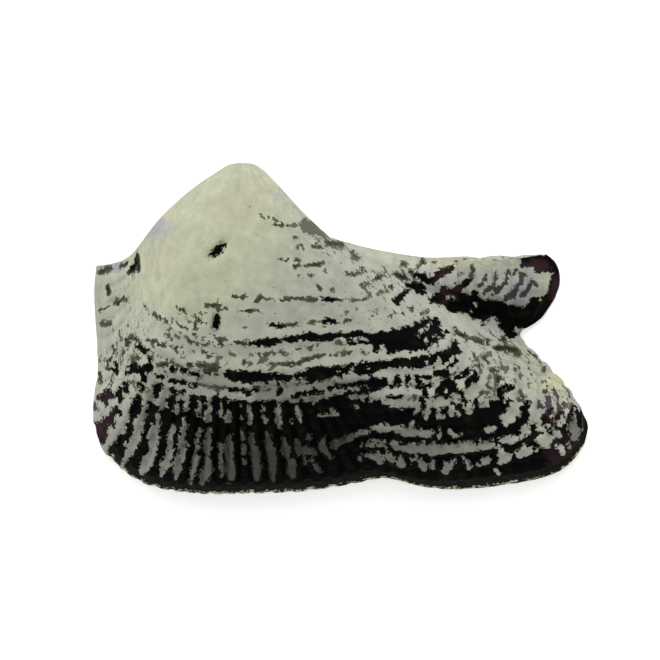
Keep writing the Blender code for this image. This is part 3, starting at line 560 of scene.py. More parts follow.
# The dark green growth laminae of the wing.
LAMINA_MARKS = (
    ((19.6, 9.2, 0.3), (19.7, 8.6, 0.4), (19.5, 7.9, 0.4), (19.5, 7.3, 0.35), (19.2, 6.7, 0.3)),
    ((21.9, 8.3, 0.2), (21.8, 7.7, 0.25), (21.5, 7.2, 0.3), (21.2, 6.6, 0.3), (20.7, 6.1, 0.3)),
    (
        (23.2, 8.4, 0.2), (23.2, 7.8, 0.3), (23.1, 7.2, 0.3), (22.9, 6.6, 0.3), (22.6, 6.1, 0.35),
        (22.2, 5.8, 0.4), (21.7, 5.4, 0.4), (21.4, 5.2, 0.3),
    ),
    (
        (25.0, 8.4, 0.35), (24.8, 7.5, 0.3), (24.6, 6.9, 0.35), (24.3, 6.3, 0.35), (23.9, 5.9, 0.3),
        (23.5, 5.5, 0.4), (23.0, 5.1, 0.3), (22.6, 4.9, 0.2),
    ),
    (
        (27.0, 7.9, 0.35), (27.0, 7.2, 0.4), (26.8, 6.5, 0.3), (26.4, 6.0, 0.4), (26.0, 5.4, 0.5),
        (25.8, 4.8, 0.6), (24.8, 4.4, 0.5), (24.4, 4.1, 0.4),
    ),
    (
        (28.4, 6.9, 0.25), (28.8, 6.9, 0.3), (28.5, 6.4, 0.35), (28.1, 6.0, 0.35), (27.7, 5.4, 0.4),
        (27.3, 4.9, 0.4), (26.9, 4.6, 0.35),
    ),
    ((29.2, 6.6, 0.3), (29.3, 6.2, 0.2)),
    ((27.4, 8.0, 0.35), (27.8, 7.7, 0.2)),
    ((26.2, 8.5, 0.25), (25.9, 7.9, 0.2)),
)

LIGHT_MARKS = (
    # Bars and blocks on the backs of the ribs, from the front to the rear.
    (
        (-29.3, -10.0, 0.4), (-29.3, -11.5, 0.35), (-29.4, -12.5, 0.35), (-29.7, -13.2, 0.5),
        (-30.2, -14.2, 0.85), (-30.2, -15.2, 0.7), (-30.5, -16.3, 0.75), (-31.1, -17.6, 0.75),
        (-31.5, -18.5, 0.6), (-32.0, -19.3, 0.45), (-32.6, -20.3, 0.35), (-32.8, -21.0, 0.25),
    ),
    ((-32.2, -17.5, 0.3), (-31.6, -17.7, 0.4)),
    (
        (-27.2, -13.0, 0.35), (-27.3, -14.6, 0.4), (-27.7, -15.2, 0.55), (-28.0, -16.3, 0.9),
        (-28.0, -17.3, 0.65), (-28.1, -18.6, 0.6), (-28.7, -19.7, 1.0), (-29.2, -20.6, 0.8),
        (-29.7, -21.6, 0.55),
    ),
    ((-28.3, -14.3, 0.2), (-28.1, -14.3, 0.15)),
    (
        (-25.0, -14.8, 0.45), (-25.3, -15.8, 0.38), (-25.6, -16.6, 0.42), (-25.5, -17.5, 0.36),
        (-25.5, -18.6, 0.5), (-25.9, -19.6, 0.6), (-26.3, -20.5, 0.8), (-26.6, -21.2, 0.5),
        (-27.0, -22.3, 0.18),
    ),
    ((-24.6, -11.6, 0.3), (-24.6, -12.4, 0.5)),
    ((-23.4, -13.6, 0.3), (-23.3, -14.6, 0.35)),
    (
        (-23.4, -14.9, 0.45), (-23.7, -16.2, 0.45), (-23.8, -17.4, 0.58), (-23.7, -18.5, 0.45),
        (-24.0, -19.6, 0.75), (-24.5, -20.8, 0.68), (-24.6, -21.6, 0.55), (-24.75, -22.7, 0.25),
    ),
    ((-23.0, -17.6, 0.2), (-22.8, -17.7, 0.2)),
    ((-20.95, -10.9, 0.25), (-20.9, -11.8, 0.3)),
    ((-21.3, -12.4, 0.4), (-21.35, -13.2, 0.3)),
    ((-21.0, -15.3, 0.3), (-21.5, -16.0, 0.3)),
    ((-21.5, -16.9, 0.35), (-21.4, -17.6, 0.5), (-21.6, -18.4, 0.25)),
    (
        (-21.5, -19.2, 0.45), (-21.7, -20.0, 0.6), (-21.9, -20.8, 0.35), (-22.2, -21.4, 0.5),
        (-22.3, -22.3, 0.35), (-22.55, -23.4, 0.15),
    ),
    ((-19.7, -10.2, 0.4), (-19.7, -11.2, 0.3), (-19.6, -12.0, 0.4), (-19.9, -12.9, 0.5), (-19.9, -13.6, 0.6)),
    ((-19.8, -15.2, 0.3), (-19.8, -16.0, 0.55), (-19.9, -16.8, 0.15)),
    ((-20.0, -17.2, 0.45), (-19.9, -18.0, 0.65), (-20.0, -18.6, 0.5)),
    (
        (-20.0, -19.2, 0.35), (-19.9, -20.0, 0.5), (-19.9, -20.7, 0.6), (-20.0, -21.4, 0.85),
        (-20.4, -22.0, 0.75), (-20.8, -22.9, 0.45), (-20.8, -23.4, 0.3),
    ),
    ((-19.8, -22.9, 0.25), (-19.6, -22.9, 0.25)),
    ((-17.9, -11.4, 0.25), (-17.8, -11.9, 0.2)),
    ((-18.0, -12.6, 0.3), (-18.0, -13.2, 0.3)),
    (
        (-18.0, -17.7, 0.4), (-17.9, -18.5, 0.35), (-17.9, -19.4, 0.3), (-17.9, -20.0, 0.25),
        (-18.0, -20.8, 0.3), (-17.6, -21.4, 0.35), (-17.8, -22.2, 0.3),
    ),
    ((-16.9, -12.9, 0.35), (-16.9, -13.7, 0.6)),
    (
        (-16.6, -16.3, 0.3), (-16.8, -17.1, 0.4), (-16.8, -17.8, 0.8), (-16.8, -18.6, 0.7),
        (-16.6, -19.5, 0.6), (-16.5, -20.5, 0.65), (-16.5, -21.5, 0.7), (-16.4, -22.4, 0.6),
    ),
    ((-16.8, -23.2, 0.25), (-16.6, -23.3, 0.2)),
    ((-15.0, -11.7, 0.2), (-14.9, -12.0, 0.15)),
    ((-14.9, -13.6, 0.2), (-14.8, -13.7, 0.2)),
    ((-14.7, -15.6, 0.3), (-14.6, -16.6, 0.35)),
    ((-14.5, -17.8, 0.3), (-14.6, -18.7, 0.4)),
    ((-14.5, -19.8, 0.3), (-14.4, -20.2, 0.3)),
    ((-13.7, -12.0, 0.25), (-13.6, -12.6, 0.4), (-13.6, -13.6, 0.45), (-13.6, -14.3, 0.25)),
    (
        (-13.7, -15.8, 0.2), (-13.4, -16.2, 0.4), (-13.3, -17.2, 0.4), (-13.2, -18.0, 0.45),
        (-12.8, -18.8, 0.8), (-12.7, -20.0, 0.65), (-12.7, -20.9, 0.6), (-12.6, -21.8, 0.5),
        (-12.6, -22.6, 0.4),
    ),
    ((-12.1, -20.8, 0.4), (-11.9, -20.8, 0.3)),
    ((-11.4, -11.6, 0.2), (-11.5, -12.3, 0.35)),
    ((-11.5, -13.5, 0.42), (-11.3, -14.2, 0.3)),
    (
        (-10.9, -16.0, 0.35), (-10.9, -17.0, 0.45), (-10.6, -18.0, 0.75), (-10.3, -19.2, 0.65),
        (-10.2, -20.2, 0.6), (-10.2, -21.2, 0.55), (-10.2, -22.0, 0.4), (-10.1, -22.9, 0.2),
    ),
    ((-9.4, -12.0, 0.4), (-9.4, -13.0, 0.4), (-9.3, -14.0, 0.45), (-9.1, -15.0, 0.28)),
    ((-8.6, -16.7, 0.3), (-8.3, -17.4, 0.4), (-8.3, -18.4, 0.75), (-8.1, -19.0, 0.4), (-8.0, -19.5, 0.2)),
    ((-7.4, -20.0, 0.5), (-7.3, -20.8, 0.6), (-7.5, -21.6, 0.65), (-7.2, -22.3, 0.4)),
    ((-6.6, -12.1, 0.35), (-6.3, -12.8, 0.4), (-6.1, -13.6, 0.35), (-5.95, -14.2, 0.2)),
    ((-7.4, -13.9, 0.2), (-7.3, -14.2, 0.2)),
    ((-6.6, -16.9, 0.3), (-6.5, -17.6, 0.5), (-6.3, -18.3, 0.4), (-6.3, -19.0, 0.3)),
    ((-5.8, -18.4, 0.5), (-4.2, -18.6, 0.5), (-3.7, -19.0, 0.2)),
    ((-5.4, -19.6, 0.3), (-5.4, -20.3, 0.3)),
    ((-4.9, -16.2, 0.2), (-4.7, -16.6, 0.3)),
    ((-4.3, -20.0, 0.3), (-3.8, -20.6, 0.35), (-3.5, -21.2, 0.25), (-3.1, -21.6, 0.3)),
    (
        (-2.5, -16.6, 0.25), (-2.8, -17.2, 0.4), (-2.7, -18.0, 0.6), (-2.3, -18.7, 0.4), (-1.9, -19.1, 0.2),
        (-1.4, -19.5, 0.3),
    ),
    ((-3.3, -13.2, 0.3), (-2.2, -13.1, 0.2), (-1.4, -12.9, 0.45), (-0.6, -12.9, 0.35)),
    ((-1.5, -12.3, 0.25), (-1.4, -12.6, 0.3)),
    (
        (-1.4, -17.6, 0.5), (-0.5, -17.3, 0.45), (0.4, -17.0, 0.4), (1.2, -16.6, 0.45), (1.8, -16.3, 0.4),
        (2.3, -16.2, 0.25),
    ),
    ((-0.9, -18.1, 0.25), (-1.0, -18.0, 0.3)),
    ((3.0, -15.8, 0.5), (3.7, -15.7, 0.5)),
    # Light bands behind the ribbed front half.
    (
        (4.6, -15.2, 0.25), (5.2, -14.9, 0.35), (5.9, -15.1, 0.65), (6.8, -15.1, 0.55), (7.8, -14.9, 0.4),
        (8.4, -15.2, 0.65), (9.1, -15.3, 0.65), (9.5, -15.9, 0.5), (10.3, -15.6, 0.6), (10.9, -15.9, 0.55),
        (11.5, -15.6, 0.5), (12.2, -15.8, 0.65), (13.0, -15.9, 0.7), (13.4, -15.6, 0.4),
    ),
    ((10.5, -14.8, 0.3), (10.8, -14.2, 0.22)),
    ((14.7, -15.4, 0.25), (14.6, -16.2, 0.35), (14.6, -16.7, 0.22)),
    ((16.4, -15.8, 0.3), (16.9, -16.2, 0.4), (17.6, -16.1, 0.35)),
    ((21.6, -15.4, 0.35), (22.2, -15.3, 0.55), (22.8, -15.1, 0.5)),
    ((3.0, -17.8, 0.2), (3.3, -17.4, 0.2)),
    (
        (3.7, -17.8, 0.2), (4.2, -17.3, 0.4), (4.6, -17.5, 0.55), (5.1, -17.2, 0.35), (5.6, -17.5, 0.35),
        (6.1, -17.3, 0.5), (6.6, -17.1, 0.3),
    ),
    ((7.8, -17.4, 0.5), (8.3, -17.8, 0.5)),
    (
        (8.9, -17.8, 0.3), (9.5, -18.1, 0.55), (10.4, -18.1, 0.8), (11.5, -18.2, 0.55), (12.2, -18.0, 0.85),
        (13.0, -18.2, 0.6), (13.6, -18.5, 0.8), (14.2, -18.2, 0.9), (15.0, -18.3, 0.65), (16.3, -18.0, 0.75),
        (17.5, -18.2, 0.65), (18.6, -17.9, 0.9), (19.6, -17.9, 0.8), (20.4, -18.1, 0.45),
        (21.3, -17.7, 0.65), (22.2, -17.6, 0.65), (22.7, -17.5, 0.5),
    ),
    ((20.7, -16.7, 0.35), (20.9, -16.9, 0.3)),
    ((2.9, -19.4, 0.25), (2.9, -19.8, 0.25)),
    (
        (3.6, -19.3, 0.2), (4.1, -19.1, 0.35), (4.8, -19.4, 0.45), (5.5, -19.4, 0.75), (5.9, -19.9, 0.6),
        (6.2, -19.4, 0.4), (6.7, -19.2, 0.2), (7.3, -19.3, 0.6), (7.7, -19.8, 0.5),
    ),
    ((6.8, -18.2, 0.25), (6.9, -18.5, 0.2)),
    ((8.9, -19.7, 0.35), (8.9, -20.2, 0.75), (9.0, -20.7, 0.4)),
    ((10.5, -20.5, 0.15), (10.5, -19.8, 0.2), (11.2, -19.7, 0.25)),
    ((12.0, -20.2, 0.5), (12.3, -20.6, 0.65), (12.4, -21.2, 0.35)),
    ((13.8, -20.2, 0.35), (13.7, -20.8, 0.5)),
    ((17.0, -19.7, 0.25), (16.7, -20.2, 0.4), (16.0, -20.8, 0.75), (15.6, -21.4, 0.6)),
    ((15.5, -20.3, 0.3), (15.6, -20.5, 0.3)),
    ((18.3, -19.5, 0.15), (18.8, -20.2, 0.4), (19.1, -20.9, 0.45)),
    ((20.7, -20.6, 0.2), (21.3, -20.2, 0.5), (21.6, -19.9, 0.7)),
    ((23.1, -21.2, 0.35), (23.6, -21.8, 0.4)),
    # Streaks and spots in the upper edge of the black.
    ((11.5, -12.0, 0.4), (11.1, -12.9, 0.25)),
    ((12.9, -12.2, 0.55), (12.7, -13.0, 0.45), (12.6, -13.6, 0.35)),
    ((14.5, -12.6, 0.3), (14.5, -13.1, 0.55), (15.1, -13.3, 0.35)),
    ((16.6, -12.2, 0.6), (16.5, -13.0, 0.4)),
    ((17.1, -12.6, 0.3), (17.5, -13.0, 0.35)),
    ((19.1, -12.0, 0.8), (19.1, -12.6, 0.45)),
    ((19.3, -11.8, 0.4), (19.35, -11.95, 0.4)),
    ((1.8, -11.9, 0.2), (2.6, -12.0, 0.2)),
    ((12.5, -5.2, 0.28), (12.7, -5.2, 0.28)),
    ((1.6, -6.2, 0.25), (1.6, -6.7, 0.35)),
    ((-0.5, -6.8, 0.15), (-0.4, -6.8, 0.15)),
    ((4.0, -6.2, 0.2), (4.2, -6.2, 0.2)),
    ((7.2, -8.0, 0.38), (7.3, -8.3, 0.3)),
    ((3.8, -8.6, 0.18), (3.9, -8.8, 0.15)),
    ((13.3, 0.6, 0.2), (12.9, 0.1, 0.25), (12.4, -0.4, 0.25), (11.8, -0.6, 0.25), (11.3, -1.2, 0.22)),
    ((12.6, -1.9, 0.3), (12.7, -2.2, 0.3)),
    ((13.9, -1.2, 0.22), (14.1, -1.4, 0.2)),
    # Pieces of light on the rear lobe and the wing.
    ((23.7, -16.9, 0.35), (24.6, -16.9, 0.6), (25.4, -16.8, 0.7), (26.2, -16.7, 0.45), (26.8, -16.5, 0.3)),
    ((23.6, -17.6, 0.25), (23.5, -18.3, 0.15)),
    ((29.8, -16.9, 0.75), (30.9, -16.8, 0.8), (31.5, -16.6, 0.45)),
    ((30.1, -17.6, 0.55), (30.9, -17.6, 0.5)),
    ((30.5, -16.1, 0.4), (30.6, -16.4, 0.4)),
    ((26.1, -18.8, 0.25), (26.8, -19.0, 0.6), (27.4, -18.6, 0.85), (28.2, -18.4, 0.6)),
    ((28.6, -17.8, 0.25), (28.7, -18.0, 0.25)),
    ((29.2, -18.4, 0.25), (29.3, -18.2, 0.2)),
    ((24.0, -19.0, 0.6), (24.2, -19.7, 0.75), (25.0, -19.5, 0.55)),
    ((23.8, -20.3, 0.35), (23.9, -20.1, 0.4)),
    ((30.9, -14.6, 0.3), (31.5, -15.0, 0.3), (31.9, -15.5, 0.35), (32.3, -15.9, 0.6), (32.7, -16.3, 0.35)),
    ((32.2, -17.8, 0.25), (33.0, -18.3, 0.5), (33.1, -18.8, 0.45)),
    ((34.0, -17.8, 0.3), (34.2, -18.0, 0.25)),
    ((29.2, -15.2, 0.2), (30.5, -15.2, 0.35), (31.2, -15.4, 0.25)),
    ((24.3, -11.3, 0.2), (24.4, -11.4, 0.15)),
    ((15.8, 4.2, 0.22), (16.3, 4.4, 0.3)),
    ((17.0, 4.3, 0.15), (17.0, 4.0, 0.15)),
    ((19.3, 2.5, 0.2), (19.5, 2.4, 0.15)),
    ((20.1, 3.4, 0.2), (20.2, 3.1, 0.15)),
    ((21.3, 4.6, 0.35), (21.6, 4.3, 0.35)),
    ((25.5, 3.9, 0.3), (25.1, 3.6, 0.3)),
)

# How much wider each kind of mark is than its line says, and how much wider olive is than the black in it.
STROKE_SPREAD, MARK_SPREAD, OLIVE_BESIDE_BLACK = 0.08, 0.04, 0.1

# How far painted shade greys the light marks of the lower half, where the slope turns down from the light,
# from the front to the rear: (x, share). It starts below the first stretch of y with a share of that, and is
# full below the second.
LOW_SHADE_ALONG = (
    (-30.0, 0.15), (-24.0, 0.40), (-21.0, 0.75), (-17.0, 0.90), (-11.0, 1.0),
    (1.0, 0.95), (4.0, 0.65), (14.0, 0.55), (22.0, 0.35), (24.0, 0.0),
)
LOW_SHADE_TOP, LOW_SHADE_AT_TOP, LOW_SHADE_DEEP = (-10.5, -12.5), 0.55, (-14.0, -16.5)

# Other painted shade: its strength, then the stretches of x (axis 0) and y (axis 1) over which it sets in.
PAINTED_SHADE_PLACES = (
    # Between the growth lines.
    (0.55, (0, -15.0, -12.0), (0, 7.0, 3.0), (1, -6.5, -8.5)),
    # The wing, the rear tip and the front.
    (0.28, (0, 14.0, 18.0), (1, 1.0, 4.0)),
    (0.60, (0, 33.2, 34.2), (1, -12.5, -14.0)),
    (0.28, (0, -31.5, -28.0), (0, -13.0, -16.0), (1, -5.0, -7.5)),
)

# The black rim, in painted shadow along the low edge, and its pale fringe: phases over which they set in,
# and the low edge and wing's top in y.
RIM_PHASES, FRINGE_PHASES = (0.945, 0.975), (0.975, 1.0)
LOW_EDGE, WING_TOP = (-15.0, -19.0), (9.5, 10.5)

# Places of a tint on the ground: middle, half widths along x and y, and strength where it isn't 1.
CREAM_PLACES = ((-17.0, 17.0, 11.0, 9.0), (-24.0, 11.0, 5.0, 5.0), (-22.0, 8.0, 12.0, 8.0))
VIOLET_PLACES = (
    (-27.8, 15.2, 2.4, 2.4),
    (-34.6, 8.9, 2.8, 0.9),
    (-30.9, 8.6, 0.9, 1.6),
    (-9.2, 20.2, 1.4, 1.2),
    (15.8, 9.4, 1.6, 0.7),
    (26.5, 5.0, 2.6, 3.0),
    (22.5, -0.5, 2.4, 1.4, 0.8),
    (34.4, -10.7, 0.9, 0.6),
    (30.8, -11.6, 1.4, 2.6),
    (32.5, -15.8, 1.4, 1.2),
)
YELLOW_PLACES = (
    (-9.6, 21.4, 2.2, 1.6),
    (-25.4, 17.0, 1.6, 1.4),
    (18.5, 9.6, 8.0, 0.9),
    (30.9, 6.8, 1.2, 1.7),
    (32.0, -8.4, 2.6, 2.0, 1.1),
    (33.2, -11.6, 1.2, 1.2),
)
MAROON_PLACES = (
    (16.0, 6.4, 2.4, 3.0),
    (31.6, -11.6, 2.4, 3.2),
    (29.5, 9.2, 2.6, 1.2),
    (32.6, 5.0, 1.3, 3.4),
    (34.0, -19.0, 4.0, 3.4),
    (-35.6, -13.5, 2.2, 6.0),
)
SPECK_PLACES = (
    (-24.0, -1.5, 11.0, 5.0, 0.75),
    (-32.0, -5.0, 5.0, 8.0, 0.8),
    (4.0, 2.0, 12.0, 6.0, 0.55),
    (24.0, -6.0, 7.0, 8.0, 0.9),
    (32.0, -11.5, 4.0, 4.0, 1.1),
    (-20.0, -6.0, 9.0, 4.0, 0.8),
    (-4.0, -8.5, 12.0, 2.5, 0.8),
    (14.0, -8.5, 6.0, 3.0, 0.9),
    (-2.0, 13.0, 6.0, 5.0, 0.75),
    (8.0, 7.5, 8.0, 3.0, 0.9),
    (-34.0, 5.0, 3.0, 5.0, 0.5),
)

# Zones of the fine mesh from the beak to the margin: first and last phase, rows, columns round the outside
# and columns across the hinge area.
YOUNGEST = 0.035
ZONES = ((YOUNGEST, 0.30, 34, 160, 24), (0.30, 0.515, 46, 320, 32), (0.515, 1.0, 96, 612, 40))

# Rows under the rim: share of its width, and the share of the edge's height that is left there.
RIM_ROWS = (
    (0.05, 0.55), (0.16, 0.20), (0.30, 0.0), (0.44, 0.0),
    (0.58, 0.0), (0.72, 0.0), (0.86, 0.0), (1.0, 0.0),
)
RIM_HINGE_COLUMNS = 240
HOLLOW_ROWS, HOLLOW_COLUMNS, HOLLOW_HINGE_COLUMNS, HOLLOW_START = 24, 256, 60, 0.97
ROOF_ROWS, ROOF_COLUMNS, ROOF_HINGE_COLUMNS = 60, 108, 12

# The share of each ring that runs along the hinge.
HINGE_SHARE = 0.25

# How stained the hidden sides are: a line round the hollow, the tops of the teeth and the grooves.
HOLLOW_LINE, HOLLOW_LINE_HALF_WIDTH, HOLLOW_CLEAN, HOLLOW_SPECKS = 0.80, 0.035, -0.40, 0.45
TOOTH_STAIN, TOOTH_CLEAN = 0.35, -0.2
GROOVE_STAIN, GROOVE_CLEAN, AREA_SPECKS, AREA_CREAM = 0.5, -0.32, 0.5, 0.3


def bump(x, centre, half_width):
    """A smooth hump of height 1."""
    return np.exp(-(((x - centre) / half_width) ** 2))


def smoothstep(low, high, x):
    share = np.clip((x - low) / (high - low), 0.0, 1.0)
    return share * share * (3.0 - 2.0 * share)


def spline(points, per_span=24):
    """A Catmull-Rom curve through the points."""
    points = np.array(points, float)
    ends = np.vstack([2 * points[0] - points[1], points, 2 * points[-1] - points[-2]])
    s = np.linspace(0.0, 1.0, per_span, endpoint=False)[:, None]
    spans = []
    for before, start, end, after in zip(ends, ends[1:], ends[2:], ends[3:]):
        spans.append(
            start
            + 0.5 * s * (end - before)
            + s**2 * (before - 2.5 * start + 2 * end - 0.5 * after)
            + s**3 * (1.5 * (start - end) + 0.5 * (after - before))
        )
    return np.vstack([*spans, points[-1:]])


def evenly(curve, count):
    """That many points along a curve, evenly spaced, both ends included."""
    steps = np.linalg.norm(np.diff(curve, axis=0), axis=1)
    along = np.concatenate([[0.0], np.cumsum(steps)])
    at = np.linspace(0.0, along[-1], count)
    return np.column_stack([np.interp(at, along, curve[:, axis]) for axis in range(2)])


def outlines(u, age):
    """The margin at each age: the present outline, plainer the younger the shell was."""
    fine = evenly(spline(MARGIN), MARGIN_STEPS + 1)
    span = int(3 * PLAIN_SPAN * MARGIN_STEPS)
    weights = bump(np.arange(-span, span + 1), 0.0, PLAIN_SPAN * MARGIN_STEPS)
    weights /= weights.sum()
    at = np.linspace(0.0, 1.0, MARGIN_STEPS + 1)
    kept = smoothstep(PLAIN_UNTIL, 1.0, age)
    axes = []
    for line in fine.T:
        before = 2 * line[0] - line[span:0:-1]
        after = 2 * line[-1] - line[-2 : -span - 2 : -1]
        plain = np.convolve(np.concatenate([before, line, after]), weights, "valid")
        axes.append(np.interp(u, at, plain) * (1.0 - kept) + np.interp(u, at, line) * kept)
    return np.stack(axes, axis=-1)


def rolled(u, age):
    """The outside surface: each margin point followed back through the ages to the beak."""
    beak_x, beak_y, beak_z = BEAK
    margin = outlines(u, age)
    dx = margin[..., 0] - beak_x
    dy = margin[..., 1] - beak_y
    dz = RIM_HEIGHT - beak_z
    middle, swing = (FRONT_STRETCH + REAR_STRETCH) / 2, (REAR_STRETCH - FRONT_STRETCH) / 2
    stretch = middle + swing * np.tanh(dx / STRETCH_SPAN)
    reach = np.hypot(dy, dz)
    angle = np.arctan2(dz, -dy) - np.log(age) / COIL
    x = beak_x + dx * age**stretch
    y = beak_y - reach * age * np.cos(angle)
    z = beak_z + reach * age * np.sin(angle)
    inward = (1.0 - age) * np.hypot(dx, dy)
    z = z + LIP_HEIGHT * (1.0 - np.exp(-inward / LIP_WIDTH)) * smoothstep(0.0, LIP_FULL_AGE, age)
    return np.stack([x, y, z], axis=-1)


def hinge_ends(age):
    """Where the front and the rear end of the hinge were at each age."""
    beak_x, beak_y, beak_z = BEAK
    (front_x, front_y), (rear_x, rear_y) = MARGIN[0], MARGIN[-1]
    z = HINGE_HEIGHT + (beak_z - HINGE_HEIGHT) * (1.0 - age)
    early, late = (1.0 - LATE_SHARE) * age**FRONT_END_EARLY, LATE_SHARE * age**FRONT_END_LATE
    front = (
        beak_x + (front_x - beak_x) * (early + late),
        front_y + (beak_y - front_y) * (1.0 - age) ** FRONT_RISE,
        z,
    )
    sag = HINGE_SAG * (1.0 - age**SAG_POWER)
    rear = (
        beak_x + (rear_x - beak_x) * age**REAR_END,
        rear_y - sag + (beak_y - rear_y + HINGE_SAG) * (1.0 - age) ** REAR_RISE,
        z,
    )
    return np.stack(front, axis=-1), np.stack(rear, axis=-1)


def outside(u, age):
    """The outside surface with its folds, drawn in to the edges of the hinge area at both ends."""
    surface = rolled(u, age)
    front, rear = hinge_ends(age[:, :1])
    none = np.zeros_like(age[:, :1])
    first, last = rolled(none, age[:, :1]), rolled(none + 1.0, age[:, :1])
    near_front = (1.0 - smoothstep(0.0, FRONT_DRAWN_IN, u))[..., None]
    near_rear = smoothstep(1.0 - REAR_DRAWN_IN, 1.0, u)[..., None]
    surface = surface + near_front * (front - first) + near_rear * (rear - last)
    size = age**FOLD_GROWTH * (1.0 - age**FOLD_FADE)
    for place, half_width, height in FOLDS:
        surface[..., 2] += height * size * bump(u, place, half_width) * smoothstep(0.0, FOLD_END, 1.0 - u)
    return surface


def age_of(u, phase):
    """The age at which a growth line lies: lines run late at the rear corner and behind the ridge."""
    late = sum(amount * smoothstep(start, end, u) for start, end, amount in LATE_LINES)
    return phase + late * phase * (1.0 - phase**LATE_POWER)


def ledge_height(phase):
    """Each ledge rises slowly towards the margin and falls off sharply."""
    height = np.zeros_like(phase)
    for at, stands_out in LEDGES:
        rise = np.clip(1.0 - (at - phase) / LEDGE_RUN, 0.0, 1.0)
        fall = np.clip(1.0 - (phase - at) / LEDGE_FALL, 0.0, 1.0)
        height = np.maximum(height, stands_out * rise * fall)
    return height


def rib_number(u):
    places, numbers = zip(*RIB_PLACES)
    return np.interp(u, places, numbers)


def rib_height(u, phase):
    """Ribs grow out of the smooth beak, and are strongest below and in front."""
    strength = WEAK_RIBS + (1.0 - WEAK_RIBS) * smoothstep(*STRONG_FROM, u) * (1.0 - smoothstep(*STRONG_TO, u))
    strength = strength * smoothstep(*RIBS_RISE, phase) * (1.0 - RIB_FALL * smoothstep(*RIBS_FALL, phase))
    flat_topped = smoothstep(*RIB_FLANK, 0.5 + 0.5 * np.cos(2.0 * np.pi * rib_number(u)))
    return RIB_HEIGHT * strength * (2.0 * flat_topped - 1.0)


def normals(surface):
    """Unit normals of a grid of points, facing out of the shell."""
    normal = np.cross(np.gradient(surface, axis=0), np.gradient(surface, axis=1))
    length = np.linalg.norm(normal, axis=-1, keepdims=True)
    return normal / np.maximum(length, 1e-9)


def patchy(x, y, seed, repeat=64):
    """Smooth random hills between -1 and 1, about one unit apart."""
    hills = np.random.default_rng(seed).uniform(-1.0, 1.0, (repeat, repeat))
    column, row = np.floor(x).astype(int), np.floor(y).astype(int)
    s, t = smoothstep(0.0, 1.0, x - column), smoothstep(0.0, 1.0, y - row)
    corners = [hills[(row + j) % repeat, (column + i) % repeat] for j in (0, 1) for i in (0, 1)]
    near = corners[0] * (1 - s) + corners[1] * s
    far = corners[2] * (1 - s) + corners[3] * s
    return near * (1 - t) + far * t


def depth_in_strokes(strokes, u, phase, per_u, per_phase):
    """How deep each place lies inside any of the strokes, in millimetres, below 0 outside them.

    The places are u and phase with the millimetres that a unit of each covers, or x, y, 1 and 1.
    """
    depth = np.full(u.shape, FAR_OUT)
    for stroke in strokes:
        for (u0, phase0, half0), (u1, phase1, half1) in zip(stroke, stroke[1:]):
            dx, dy = (u1 - u0) * per_u, (phase1 - phase0) * per_phase
            x, y = (u - u0) * per_u, (phase - phase0) * per_phase
            along = np.clip((x * dx + y * dy) / (dx**2 + dy**2), 0.0, 1.0)
            away = np.hypot(x - along * dx, y - along * dy)
            depth = np.maximum(depth, half0 + (half1 - half0) * along - away)
    return depth


def depth_in_areas(areas, u, phase, per_u, per_phase):
    """The same for areas, each given by the points of its closed outline."""
    depth = np.full(u.shape, FAR_OUT)
    for area in areas:
        within = np.zeros(u.shape, bool)
        for (u0, phase0), (u1, phase1) in zip(area, (*area[1:], area[0])):
            if phase0 != phase1:
                crossing = u0 + (u1 - u0) * (phase - phase0) / (phase1 - phase0)
                within ^= ((phase0 > phase) != (phase1 > phase)) & (u < crossing)
        edge = [tuple((*point, 0.0) for point in (*area, area[0]))]
        away = -depth_in_strokes(edge, u, phase, per_u, per_phase)
        depth = np.maximum(depth, np.where(within, away, -away))
    return depth


def places(surface, spots):
    """How much each point lies in any of the round places on the ground, from 0 to 1."""
    share = np.zeros(surface.shape[:-1])
    for x, y, half_x, half_y, *strength in spots:
        away = np.hypot((surface[..., 0] - x) / half_x, (surface[..., 1] - y) / half_y)
        share = np.maximum(share, (strength or [1.0])[0] * np.exp(-(away**2)))
    return share


def painted_shade_on(x, y):
    """How far painted shade greys the light marks: most in the lower half, and some in the other places."""
    deep = LOW_SHADE_AT_TOP + (1.0 - LOW_SHADE_AT_TOP) * smoothstep(*LOW_SHADE_DEEP, y)
    painted_shade = np.interp(x, *zip(*LOW_SHADE_ALONG)) * smoothstep(*LOW_SHADE_TOP, y) * deep
    for strength, *stretches in PAINTED_SHADE_PLACES:
        for axis, start, end in stretches:
            strength = strength * smoothstep(start, end, (x, y)[axis])
        painted_shade = np.maximum(painted_shade, strength)
    return painted_shade


